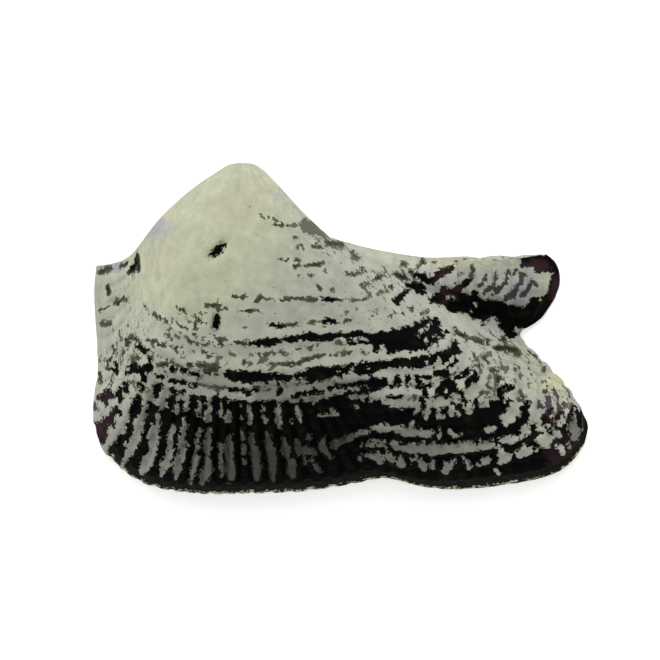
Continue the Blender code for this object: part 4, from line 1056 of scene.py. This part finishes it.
def paint(u, phase, surface):
    """Every mark and tint at each place of the outside, by name."""
    per_u = np.linalg.norm(np.gradient(surface, u[0], axis=1), axis=-1)
    per_phase = np.linalg.norm(np.gradient(surface, phase[:, 0], axis=0), axis=-1)
    here = (u, phase, per_u, per_phase)
    ground = (surface[..., 0], surface[..., 1], 1.0, 1.0)
    light = depth_in_strokes(LIGHT_MARKS, *ground) + MARK_SPREAD
    black = np.maximum.reduce([
        depth_in_areas(BLACK_AREAS, *ground) + MARK_SPREAD,
        depth_in_strokes(BLACK_MARKS, *ground) + MARK_SPREAD,
        depth_in_strokes(BLACK_STROKES, *here) + STROKE_SPREAD,
    ])
    olive = np.maximum(
        depth_in_strokes(OLIVE_MARKS, *ground) + MARK_SPREAD,
        depth_in_strokes(OLIVE_STROKES, *here) + STROKE_SPREAD,
    )
    patch = depth_in_areas(PATCH_AREAS, *ground)
    # Painted shade fills the pits.
    for x, y, turn, half_length, half_width, _ in PITS:
        dx, dy = surface[..., 0] - x, surface[..., 1] - y
        along = (dx * np.cos(turn) + dy * np.sin(turn)) / half_length
        across = (dy * np.cos(turn) - dx * np.sin(turn)) / half_width
        black = np.maximum(black, half_width * (PIT_SHADE - np.hypot(along, across)))
    black = np.minimum(black, -light)
    low_edge = smoothstep(*LOW_EDGE, surface[..., 1])
    fringed = np.maximum(low_edge, smoothstep(*WING_TOP, surface[..., 1]))
    return {
        "black": black,
        "light": light,
        "olive": np.maximum(olive, black + OLIVE_BESIDE_BLACK),
        "patch": np.minimum(patch, PATCH_FADE * (surface[..., 2] - PATCH_FOOT)),
        "lamina": depth_in_strokes(LAMINA_MARKS, *ground),
        "speck": places(surface, SPECK_PLACES),
        "painted_shade": painted_shade_on(surface[..., 0], surface[..., 1]),
        "cream": places(surface, CREAM_PLACES),
        "violet": places(surface, VIOLET_PLACES),
        "yellow": places(surface, YELLOW_PLACES),
        "maroon": places(surface, MAROON_PLACES),
        # The rim's colour of painted shadow along the low edge.
        "rim": smoothstep(*RIM_PHASES, phase) * low_edge,
        "fringe": smoothstep(*FRINGE_PHASES, phase) * fringed,
        "inner": np.zeros(u.shape),
        "place": u,
        "phase": phase,
    }


# What the mesh keeps for the material, by the names that paint gives.
FIELDS = (
    "black", "olive", "patch", "lamina", "speck", "painted_shade", "cream", "violet", "yellow", "maroon", "rim",
    "fringe", "inner", "place", "phase",
)


def sculpted(u, phase):
    """The outside with its ledges, ribs and pits, and with its marks."""
    plain = outside(u, age_of(u, phase))
    out = normals(plain) * (smoothstep(0.0, RELIEF_END, u) * smoothstep(0.0, RELIEF_END, 1.0 - u))[..., None]
    wavering = phase + WAVER * patchy(u * WAVER_CELLS[0], phase * WAVER_CELLS[1], WAVER_SEED)
    ledges = FRONT_LEDGES + (1.0 - FRONT_LEDGES) * smoothstep(*LEDGE_STRETCH, u)
    relief = ledge_height(wavering) * ledges + rib_height(u, phase)
    marks = paint(u, phase, plain + relief[..., None] * out)
    relief += LIGHT_RISE * smoothstep(*LIGHT_STEP, marks["light"])
    relief -= DARK_SINK * smoothstep(*DARK_STEP, marks["black"])
    rough = patchy(u * ROUGH_CELLS[0], phase * ROUGH_CELLS[1], ROUGH_SEED)
    relief += ROUGHNESS * rough * smoothstep(*ROUGH_PHASES, phase)
    surface = plain + relief[..., None] * out
    for x, y, turn, half_length, half_width, depth in PITS:
        dx, dy = surface[..., 0] - x, surface[..., 1] - y
        along = dx * np.cos(turn) + dy * np.sin(turn)
        across = dy * np.cos(turn) - dx * np.sin(turn)
        surface[..., 2] -= depth * bump(along, 0.0, half_length) * bump(across, 0.0, half_width)
    return surface, marks


def no_marks(shape):
    """Every mark absent and every tint 0."""
    marks = {name: np.zeros(shape) for name in FIELDS}
    for name in ("black", "patch", "lamina"):
        marks[name] = np.full(shape, FAR_OUT)
    return marks


def stations(columns, hinge_columns):
    """Where the points of a ring stand along it: round the outside, then across the hinge."""
    back = 1.0 - HINGE_SHARE * np.linspace(1.0, 0.0, hinge_columns + 1)[1:-1]
    return np.concatenate([np.linspace(0.0, 1.0, columns + 1) * (1.0 - HINGE_SHARE), back])


def hinge_area(age, columns):
    """The flat area above the hinge, straight across from rear to front, with its ligament grooves."""
    front, rear = hinge_ends(age)
    across = np.linspace(0.0, 1.0, columns + 1)[None, 1:-1, None]
    area = rear * (1.0 - across) + front * across
    slant = (area[..., 2] + GROOVE_SLANT * np.abs(area[..., 0] - BEAK[0])) / GROOVE_SPACING
    groove = bump(slant - np.floor(slant), 0.5, GROOVE_WIDTH)
    edges = smoothstep(0.0, GROOVE_END, across[..., 0]) * smoothstep(0.0, GROOVE_END, 1.0 - across[..., 0])
    area[..., 1] -= GROOVE_DEPTH * groove * edges * smoothstep(*GROOVE_AGES, age)
    marks = no_marks(groove.shape)
    marks["olive"] = GROOVE_STAIN * groove + GROOVE_CLEAN
    marks["speck"] = np.full(groove.shape, AREA_SPECKS)
    marks["cream"] = np.full(groove.shape, AREA_CREAM)
    marks["phase"] = np.zeros(groove.shape) + age
    return area, marks


def outside_rings():
    """Rings from the beak to the margin, each closed over the hinge area.

    A ring is its points, where each stands along the ring, and their marks.
    """
    rings = []
    for first, last, rows, columns, hinge_columns in ZONES:
        phases = np.linspace(first, last, rows, endpoint=last == 1.0)
        u, phase = np.meshgrid(np.linspace(0.0, 1.0, columns + 1), phases)
        surface, marks = sculpted(u, phase)
        area, area_marks = hinge_area(age_of(u, phase)[:, :1], hinge_columns)
        for row in range(rows):
            points = np.concatenate([surface[row], area[row]])
            ring_marks = {name: np.concatenate([marks[name][row], area_marks[name][row]]) for name in FIELDS}
            rings.append((points, stations(columns, hinge_columns), ring_marks))
    return rings


def inner_edge(outline):
    """The line on the ground where the rim ends and the hollow begins, drawn in from the outline."""
    along = np.roll(outline, -2, axis=0) - np.roll(outline, 2, axis=0)
    inward = np.column_stack([-along[:, 1], along[:, 0]])
    inward /= np.linalg.norm(inward, axis=1, keepdims=True)
    plate = smoothstep(*PLATE_EDGE, outline[:, 1])
    edge = outline + inward * (RIM_WIDTH + (HINGE_PLATE_WIDTH - RIM_WIDTH) * plate)[:, None]
    for _ in range(RIM_SMOOTHINGS):
        edge = (np.roll(edge, 1, axis=0) + 2 * edge + np.roll(edge, -1, axis=0)) / 4
    return edge


def plain_roof():
    """The outside without its relief, as a surface to measure the wall from."""
    u, phase = np.meshgrid(np.linspace(0.0, 1.0, ROOF_COLUMNS + 1), np.linspace(YOUNGEST, 1.0, ROOF_ROWS))
    age = age_of(u, phase)
    front, rear = hinge_ends(age[:, :1])
    across = np.linspace(0.0, 1.0, ROOF_HINGE_COLUMNS + 1)[None, 1:-1, None]
    loops = np.concatenate([outside(u, age), rear * (1.0 - across) + front * across], axis=1)
    rows, count = loops.shape[:2]
    faces = []
    for start in range(0, (rows - 1) * count, count):
        for i in range(count):
            j = (i + 1) % count
            faces.append((start + i, start + j, start + count + j, start + count + i))
    return BVHTree.FromPolygons([tuple(point) for point in loops.reshape(-1, 3)], faces), loops[-1]


def hollow_heights(roof):
    """The inside of the wall as heights on a grid, nowhere nearer to the outside than one wall."""
    xs = np.arange(*GRID_X, GRID_STEP)
    ys = np.arange(*GRID_Y, GRID_STEP)
    heights = np.zeros((len(ys), len(xs)))
    for row, y in enumerate(ys):
        for column, x in enumerate(xs):
            point = roof.ray_cast(Vector((x, y, -1.0)), Vector((0.0, 0.0, 1.0)))[0]
            heights[row, column] = point.z if point else 0.0
    wall = WALL + WALL_SPARE
    inside = heights - wall
    reach = int(wall / GRID_STEP)
    for shift_y in range(-reach, reach + 1):
        for shift_x in range(-reach, reach + 1):
            away = GRID_STEP * np.hypot(shift_x, shift_y)
            if away < wall:
                moved = np.roll(heights, (shift_y, shift_x), axis=(0, 1))
                inside = np.minimum(inside, moved - np.sqrt(wall**2 - away**2))
    for _ in range(SMOOTHINGS):
        for axis in (0, 1):
            inside = (np.roll(inside, 1, axis) + 2 * inside + np.roll(inside, -1, axis)) / 4
    return xs, ys, inside


def on_grid(xs, ys, heights, points, edge_gap=0.001):
    """Heights of the grid at points, straight between its corners and just short of its edge."""
    column = np.clip((points[:, 0] - xs[0]) / GRID_STEP, 0, len(xs) - 1 - edge_gap)
    row = np.clip((points[:, 1] - ys[0]) / GRID_STEP, 0, len(ys) - 1 - edge_gap)
    c, r = column.astype(int), row.astype(int)
    s, t = column - c, row - r
    near = heights[r, c] * (1 - s) + heights[r, c + 1] * s
    far = heights[r + 1, c] * (1 - s) + heights[r + 1, c + 1] * s
    return near * (1 - t) + far * t


def inner_marks(at, share):
    """Marks under the rim and in the hollow, by the share of the way out from the hollow's middle."""
    marks = no_marks(at.shape)
    line = GROOVE_STAIN * bump(share, HOLLOW_LINE, HOLLOW_LINE_HALF_WIDTH)
    marks["olive"] = np.full(at.shape, line + HOLLOW_CLEAN)
    marks["speck"] = np.full(at.shape, HOLLOW_SPECKS)
    marks["inner"] = np.ones(at.shape)
    marks["place"] = at
    marks["phase"] = np.full(at.shape, share)
    return marks


def inner_rings(margin):
    """Rings under the rim, with the hinge teeth, and up the hollow to its deepest place."""
    roof, outline = plain_roof()
    edge = inner_edge(outline[:, :2])
    edge_at = stations(ROOF_COLUMNS, ROOF_HINGE_COLUMNS)
    margin_points, margin_at, _ = margin
    margin_columns = ZONES[-1][3]

    def spread(values, own, at):
        """Values along the closed ring, taken from their own places to others."""
        closed = np.vstack([values, values[:1]])
        return np.column_stack([np.interp(at, np.append(own, 1.0), column) for column in closed.T])

    rings = []
    at = stations(margin_columns, RIM_HINGE_COLUMNS)
    outer = spread(margin_points, margin_at, at)
    inner = spread(edge, edge_at, at)
    along_hinge = (at - (1.0 - HINGE_SHARE)) / HINGE_SHARE
    tooth = 0.5 - 0.5 * np.cos(2.0 * np.pi * TEETH * along_hinge)
    on_hinge = smoothstep(*TOOTH_ROW_END, along_hinge) * smoothstep(*TOOTH_ROW_END, 1.0 - along_hinge)
    for inset, height in RIM_ROWS:
        ring = outer.copy()
        ring[:, :2] += (inner - outer[:, :2]) * inset
        ring[:, 2] *= height
        across_plate = smoothstep(*TOOTH_FOOT, inset) * smoothstep(*TOOTH_TIP, 1.0 - inset)
        ring[:, 2] += TOOTH_DEPTH * tooth * on_hinge * across_plate
        marks = inner_marks(at, 1.0)
        marks["inner"] = np.full(at.shape, smoothstep(0.0, TOOTH_FOOT[1], inset))
        marks["olive"] = np.where(on_hinge > 0.5, TOOTH_STAIN * tooth + TOOTH_CLEAN, HOLLOW_CLEAN)
        rings.append((ring, at, marks))
    grid = hollow_heights(roof)
    centre = np.array(HOLLOW_CENTRE)
    at = stations(HOLLOW_COLUMNS, HOLLOW_HINGE_COLUMNS)
    inner = spread(edge, edge_at, at)
    for share in np.linspace(HOLLOW_START, 0.0, HOLLOW_ROWS):
        place = centre + share * (inner - centre)
        height = np.maximum(on_grid(*grid, place), HOLLOW_LEAST) * (1.0 - share**HOLLOW_STEEPNESS)
        rings.append((np.column_stack([place, height]), at, inner_marks(at, share)))
    return rings


def lift_gape(points):
    """The shallow arch in the lower margin through which the living clam held on."""
    x, y, z = points.T
    lifted = points.copy()
    arch = GAPE_HEIGHT * bump(x, GAPE_X, GAPE_HALF_WIDTH)
    lifted[:, 2] += arch * smoothstep(*GAPE_SIDE, -y) * np.exp(-z / GAPE_FADE)
    return lifted


def zip_rings(start_a, at_a, start_b, at_b):
    """Triangles between two closed rings, which may have different numbers of points."""
    count_a, count_b = len(at_a), len(at_b)
    ends_a, ends_b = [*at_a[1:], 1.0, np.inf], [*at_b[1:], 1.0, np.inf]
    triangles = []
    a = b = 0
    while a < count_a or b < count_b:
        here_a, here_b = start_a + a % count_a, start_b + b % count_b
        if ends_a[a] <= ends_b[b]:
            triangles.append((here_a, start_a + (a + 1) % count_a, here_b))
            a += 1
        else:
            triangles.append((here_a, start_b + (b + 1) % count_b, here_b))
            b += 1
    return triangles


def shell_mesh():
    """The whole valve as one closed mesh, in place of the solid and in its box."""
    rings = outside_rings()
    rings += inner_rings(rings[-1])
    first_points, _, first_marks = rings[0]
    last_points, _, last_marks = rings[-1]
    rings = rings[:-1]
    points = np.vstack([first_points.mean(axis=0), *[ring[0] for ring in rings], last_points[0]])
    start, count = 1, len(rings[0][1])
    triangles = [(start + i, 0, start + (i + 1) % count) for i in range(count)]
    for (_, at_a, _), (_, at_b, _) in zip(rings, rings[1:]):
        triangles += zip_rings(start, at_a, start + len(at_a), at_b)
        start += len(at_a)
    end, count = len(points) - 1, len(rings[-1][1])
    triangles += [(start + i, start + (i + 1) % count, end) for i in range(count)]
    points = lift_gape(points) * MM
    low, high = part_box("left_valve")
    middle = np.array([(low.x + high.x) / 2, (low.y + high.y) / 2, low.z])
    own_low, own_high = points.min(axis=0), points.max(axis=0)
    shift = middle - np.array([*(own_low + own_high)[:2] / 2, own_low[2]])
    mesh = bpy.data.meshes.new("left_valve_shell")
    mesh.from_pydata((points + shift).tolist(), [], triangles)
    for name in FIELDS:
        between = [ring_marks[name] for _, _, ring_marks in rings]
        values = np.concatenate([first_marks[name][:1], *between, last_marks[name][:1]])
        mesh.attributes.new(name, "FLOAT", "POINT").data.foreach_set("value", values.astype(np.float32))
    mesh.shade_smooth()
    return mesh, shift


class Nodes:
    """Short ways to add and link the nodes of one material."""

    def __init__(self, name):
        self.material = bpy.data.materials.new(name)
        self.material.use_nodes = True
        self.tree = self.material.node_tree
        self.shader = self.tree.nodes["Principled BSDF"]

    def add(self, kind, inputs=(), **settings):
        node = self.tree.nodes.new(kind)
        for name, value in settings.items():
            setattr(node, name, value)
        for socket, value in dict(inputs).items():
            self.put(node.inputs[socket], value)
        return node

    def put(self, socket, value):
        if isinstance(value, bpy.types.NodeSocket):
            self.tree.links.new(value, socket)
        else:
            socket.default_value = value

    def field(self, name):
        return self.add("ShaderNodeAttribute", attribute_name=name).outputs["Fac"]

    def math(self, operation, a, b=0.0):
        return self.add("ShaderNodeMath", {0: a, 1: b}, operation=operation).outputs[0]

    def total(self, *parts):
        """The sum of values, each given alone or as (value, weight)."""
        values = [self.math("MULTIPLY", *part) if isinstance(part, tuple) else part for part in parts]
        result = values[0]
        for value in values[1:]:
            result = self.math("ADD", result, value)
        return result

    def noise(self, vector, scale, detail, roughness):
        """Noise between about -0.5 and 0.5."""
        inputs = {"Vector": vector, "Scale": scale, "Detail": detail, "Roughness": roughness}
        return self.math("SUBTRACT", self.add("ShaderNodeTexNoise", inputs).outputs["Fac"], 0.5)

    def step(self, value, low, high):
        """0 below low and 1 above high."""
        inputs = {"Value": value, "From Min": low, "From Max": high}
        return self.add("ShaderNodeMapRange", inputs).outputs["Result"]

    def mix(self, share, below, above):
        node = self.add("ShaderNodeMix", data_type="RGBA")
        sockets = [s for s in node.inputs if s.type == "RGBA"]
        self.put(node.inputs[0], share)
        self.put(sockets[0], below)
        self.put(sockets[1], above)
        return [s for s in node.outputs if s.type == "RGBA"][0]


# Colours of the clean shell, of its stains and painted shade, and of the hidden sides.
CREAM = (0.430, 0.428, 0.322, 1.0)
KHAKI = (0.460, 0.485, 0.338, 1.0)
GREY_GREEN = (0.405, 0.425, 0.328, 1.0)
COOL_GREY = (0.385, 0.395, 0.348, 1.0)
VIOLET_GREY = (0.370, 0.350, 0.390, 1.0)
YELLOW_GREEN = (0.500, 0.500, 0.335, 1.0)
OLIVE = (0.120, 0.122, 0.082, 1.0)
OLIVE_BLACK = (0.022, 0.023, 0.013, 1.0)
BLACK = (0.002, 0.002, 0.002, 1.0)
MAROON = (0.026, 0.012, 0.016, 1.0)
GREEN_BLACK = (0.010, 0.011, 0.005, 1.0)
VIOLET_BROWN = (0.070, 0.055, 0.060, 1.0)
LAMINA_GREEN = (0.034, 0.042, 0.036, 1.0)
# The painted shadow along the low edge.
RIM_SHADOW_BLACK = (0.007, 0.008, 0.004, 1.0)
# The grey of the painted shade over the lower half.
SHADE_GREY = (0.052, 0.052, 0.047, 1.0)
PATCH_GREY = (0.125, 0.125, 0.098, 1.0)
INNER_CREAM = (0.520, 0.500, 0.400, 1.0)


# Noises of the material: scale, detail and roughness, and the scale of the grain in the marks' edges.
RAGGED, GRAIN_SCALE = (1.3, 3.0, 0.6), 2.2
BROAD, MOTTLE, STREAKS = (0.10, 3.0, 0.5), (0.55, 4.0, 0.6), (0.35, 3.0, 0.55)
FLECKS, PEPPER = (0.55, 2.0, 0.6), (1.9, 1.0, 0.5)

# How many noise units the shell is long along the margin and along its growth.
PLACE_LENGTH, PHASE_LENGTH = 60.0, 75.0

# Between which values each tint and mark sets in.
SETS_IN = {
    "grey green": (-0.35, 0.35),
    "worn": (-0.18, 0.18),
    "cream": (0.05, 0.75),
    "violet": (0.45, 0.75),
    "yellow": (0.45, 0.80),
    "maroon": (0.35, 0.70),
    "patch": (-0.05, 0.10),
    "fleck": (0.255, 0.28),
    "pepper": (0.27, 0.29),
    "olive": (-0.05, 0.05),
    "dark olive": (-0.15, 0.28),
    "lamina": (-0.03, 0.05),
    "black": (-0.05, 0.01),
    "green black": (0.05, 0.40),
    "fringe": (0.48, 0.52),
}
SHADE = {"From Min": -0.4, "From Max": 0.4, "To Min": 0.73, "To Max": 1.17}
SHELL_ROUGHNESS, SHELL_GLOSS = 0.9, 0.05
BUMP_STRENGTH, BUMP_DEPTH = 0.5, 0.25


def shell_material():
    """Worn chalky shell with ragged dark stain and painted shade in its grooves and on its lower slope."""
    n = Nodes("fossil_shell")

    def sets_in(name, *parts):
        return n.step(n.total(*parts), *SETS_IN[name])

    object_place = n.add("ShaderNodeTexCoord").outputs["Object"]
    in_millimetres = {0: object_place, 1: (1.0 / MM,) * 3}
    spot = n.add("ShaderNodeVectorMath", in_millimetres, operation="MULTIPLY").outputs[0]
    along_lines = n.add("ShaderNodeCombineXYZ", {
        0: n.math("MULTIPLY", n.field("place"), PLACE_LENGTH),
        1: n.math("MULTIPLY", n.field("phase"), PHASE_LENGTH),
    }).outputs[0]
    ragged = n.noise(spot, *RAGGED)
    cell = n.add("ShaderNodeTexVoronoi", {"Vector": spot, "Scale": GRAIN_SCALE}, distance="CHEBYCHEV")
    grain = n.math("SUBTRACT", n.add("ShaderNodeSeparateColor", {0: cell.outputs["Color"]}).outputs[0], 0.5)
    edge = n.total((ragged, 1.1), (grain, 0.46))
    broad, mottle, streaks = n.noise(spot, *BROAD), n.noise(spot, *MOTTLE), n.noise(along_lines, *STREAKS)

    # The clean shell and its tints.
    base = n.mix(sets_in("grey green", (broad, 1.6), (streaks, 1.2)), COOL_GREY, GREY_GREEN)
    worn = n.mix(sets_in("worn", broad), KHAKI, CREAM)
    base = n.mix(sets_in("cream", n.field("cream"), (mottle, 0.5)), base, worn)
    base = n.mix(sets_in("violet", n.field("violet"), (edge, 1.2)), base, VIOLET_GREY)
    base = n.mix(sets_in("yellow", n.field("yellow"), (edge, 1.2)), base, YELLOW_GREEN)
    # Painted shade greys the lower half and the other shaded places.
    base = n.mix(n.field("painted_shade"), base, SHADE_GREY)
    base = n.mix(sets_in("patch", n.field("patch"), edge), base, PATCH_GREY)
    base = n.mix(n.field("inner"), base, INNER_CREAM)
    cloudy = n.total((mottle, 0.8), (streaks, 0.7))
    shade = n.add("ShaderNodeMapRange", {"Value": cloudy, **SHADE}).outputs["Result"]
    base = n.add("ShaderNodeVectorMath", {0: base, "Scale": shade}, operation="SCALE").outputs[0]

    # The stains and painted shade over it, from the faintest to the darkest.
    speck = n.field("speck")
    fleck = sets_in("fleck", n.noise(along_lines, *FLECKS), (ragged, 0.5), (speck, 0.24))
    pepper = sets_in("pepper", n.noise(spot, *PEPPER), (speck, 0.10))
    maroon = sets_in("maroon", n.field("maroon"), ragged)
    faint = sets_in("olive", n.field("olive"), edge)
    olive_tone = n.mix(sets_in("dark olive", mottle, (n.field("olive"), 0.6)), OLIVE, OLIVE_BLACK)
    olive_tone = n.mix(maroon, olive_tone, VIOLET_BROWN)
    specks = n.math("MAXIMUM", fleck, pepper)
    colour = n.mix(n.math("MAXIMUM", specks, faint), base, olive_tone)
    colour = n.mix(sets_in("lamina", n.field("lamina"), (edge, 0.7)), colour, LAMINA_GREEN)
    dark = n.mix(sets_in("green black", streaks, mottle), BLACK, GREEN_BLACK)
    dark = n.mix(maroon, dark, MAROON)
    # The painted shadow along the low edge is greener.
    dark = n.mix(n.field("rim"), dark, RIM_SHADOW_BLACK)
    # The black is stain with painted shade.
    stain_and_shade = sets_in("black", n.field("black"), edge)
    colour = n.mix(stain_and_shade, colour, dark)
    colour = n.mix(sets_in("fringe", (n.field("fringe"), 0.5), edge), colour, CREAM)
    n.put(n.shader.inputs["Base Color"], colour)
    n.put(n.shader.inputs["Roughness"], SHELL_ROUGHNESS)
    n.put(n.shader.inputs["Specular IOR Level"], SHELL_GLOSS)

    # Fine bumps, with the stains and painted shade a little lower.
    sunk = n.math("MAXIMUM", stain_and_shade, n.math("MULTIPLY", faint, 0.5))
    bumps = n.total((mottle, 0.7), (ragged, 0.5), (sunk, -0.5))
    bump_inputs = {"Strength": BUMP_STRENGTH, "Distance": BUMP_DEPTH * MM, "Height": bumps}
    n.put(n.shader.inputs["Normal"], n.add("ShaderNodeBump", bump_inputs).outputs["Normal"])
    return n.material


# The photograph's view: straight down, with the picture's middle at this place and this wide.
VIEW_MIDDLE = (-1.65, -0.45)
VIEW_WIDTH, LENS, SENSOR = 99.0, 900.0, 36.0
CLIP_NEAR, CLIP_FAR = 0.1, 3.0

# An even white sky, and a broad sun from the hinge side.
WHITE = (1.0, 1.0, 1.0, 1.0)
SKY_STRENGTH = 0.70
SUN_STRENGTH, SUN_ANGLE, SUN_FROM = 1.6, 1.0, (-0.25, 1.0, 0.95)

# The floor lies just under the shell, and shines of its own, so that the shadow beside the shell stays faint.
FLOOR_HALF_WIDTH, FLOOR_HEIGHT = 2000.0, -0.02
FLOOR_COLOUR, FLOOR_ROUGHNESS, FLOOR_GLOW = (0.985, 0.985, 0.98, 1.0), 0.9, 0.32


def camera(shift):
    """A long lens far above the shell, which shows it as the photograph does."""
    data = bpy.data.cameras.new("camera")
    data.lens, data.sensor_width = LENS, SENSOR
    away = VIEW_WIDTH * LENS / SENSOR
    data.clip_start, data.clip_end = CLIP_NEAR * away * MM, CLIP_FAR * away * MM
    obj = bpy.data.objects.new("camera", data)
    obj.location = (VIEW_MIDDLE[0] * MM + shift[0], VIEW_MIDDLE[1] * MM + shift[1], away * MM)
    bpy.context.scene.collection.objects.link(obj)
    bpy.context.scene.camera = obj


def lights():
    """The sky and the sun, with colours shown as they are."""
    scene = bpy.context.scene
    scene.view_settings.view_transform = "Standard"
    world = bpy.data.worlds.new("studio")
    scene.world = world
    world.use_nodes = True
    sky = world.node_tree.nodes["Background"]
    sky.inputs["Color"].default_value = WHITE
    sky.inputs["Strength"].default_value = SKY_STRENGTH
    key = bpy.data.lights.new("key", "SUN")
    key.energy, key.angle = SUN_STRENGTH, SUN_ANGLE
    obj = bpy.data.objects.new("key", key)
    obj.rotation_euler = Vector(SUN_FROM).to_track_quat("Z", "Y").to_euler()
    scene.collection.objects.link(obj)


def floor():
    """The white ground, which belongs to the stage and not to the shell."""
    half, height = FLOOR_HALF_WIDTH * MM, FLOOR_HEIGHT * MM
    mesh = bpy.data.meshes.new("floor")
    corners = [(x * half, y * half, height) for x, y in ((-1, -1), (1, -1), (1, 1), (-1, 1))]
    mesh.from_pydata(corners, [], [(0, 1, 2, 3)])
    obj = bpy.data.objects.new("floor", mesh)
    bpy.context.scene.collection.objects.link(obj)
    material = bpy.data.materials.new("pale_floor")
    material.use_nodes = True
    shader = material.node_tree.nodes["Principled BSDF"]
    shader.inputs["Base Color"].default_value = FLOOR_COLOUR
    shader.inputs["Roughness"].default_value = FLOOR_ROUGHNESS
    shader.inputs["Emission Color"].default_value = WHITE
    shader.inputs["Emission Strength"].default_value = FLOOR_GLOW
    mesh.materials.append(material)


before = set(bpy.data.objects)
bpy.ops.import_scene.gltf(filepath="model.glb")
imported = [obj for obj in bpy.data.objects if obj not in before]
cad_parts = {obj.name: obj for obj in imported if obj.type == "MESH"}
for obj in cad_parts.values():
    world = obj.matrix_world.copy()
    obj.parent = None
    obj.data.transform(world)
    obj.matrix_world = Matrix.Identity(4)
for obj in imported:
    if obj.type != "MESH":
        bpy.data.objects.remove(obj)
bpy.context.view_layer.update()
shell, moved = shell_mesh()
shell.materials.append(shell_material())
piece = bpy.data.objects.new("left_valve_shell", shell)
bpy.context.scene.collection.objects.link(piece)
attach(piece, "root")
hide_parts("left_valve")
camera(moved)
lights()
floor()
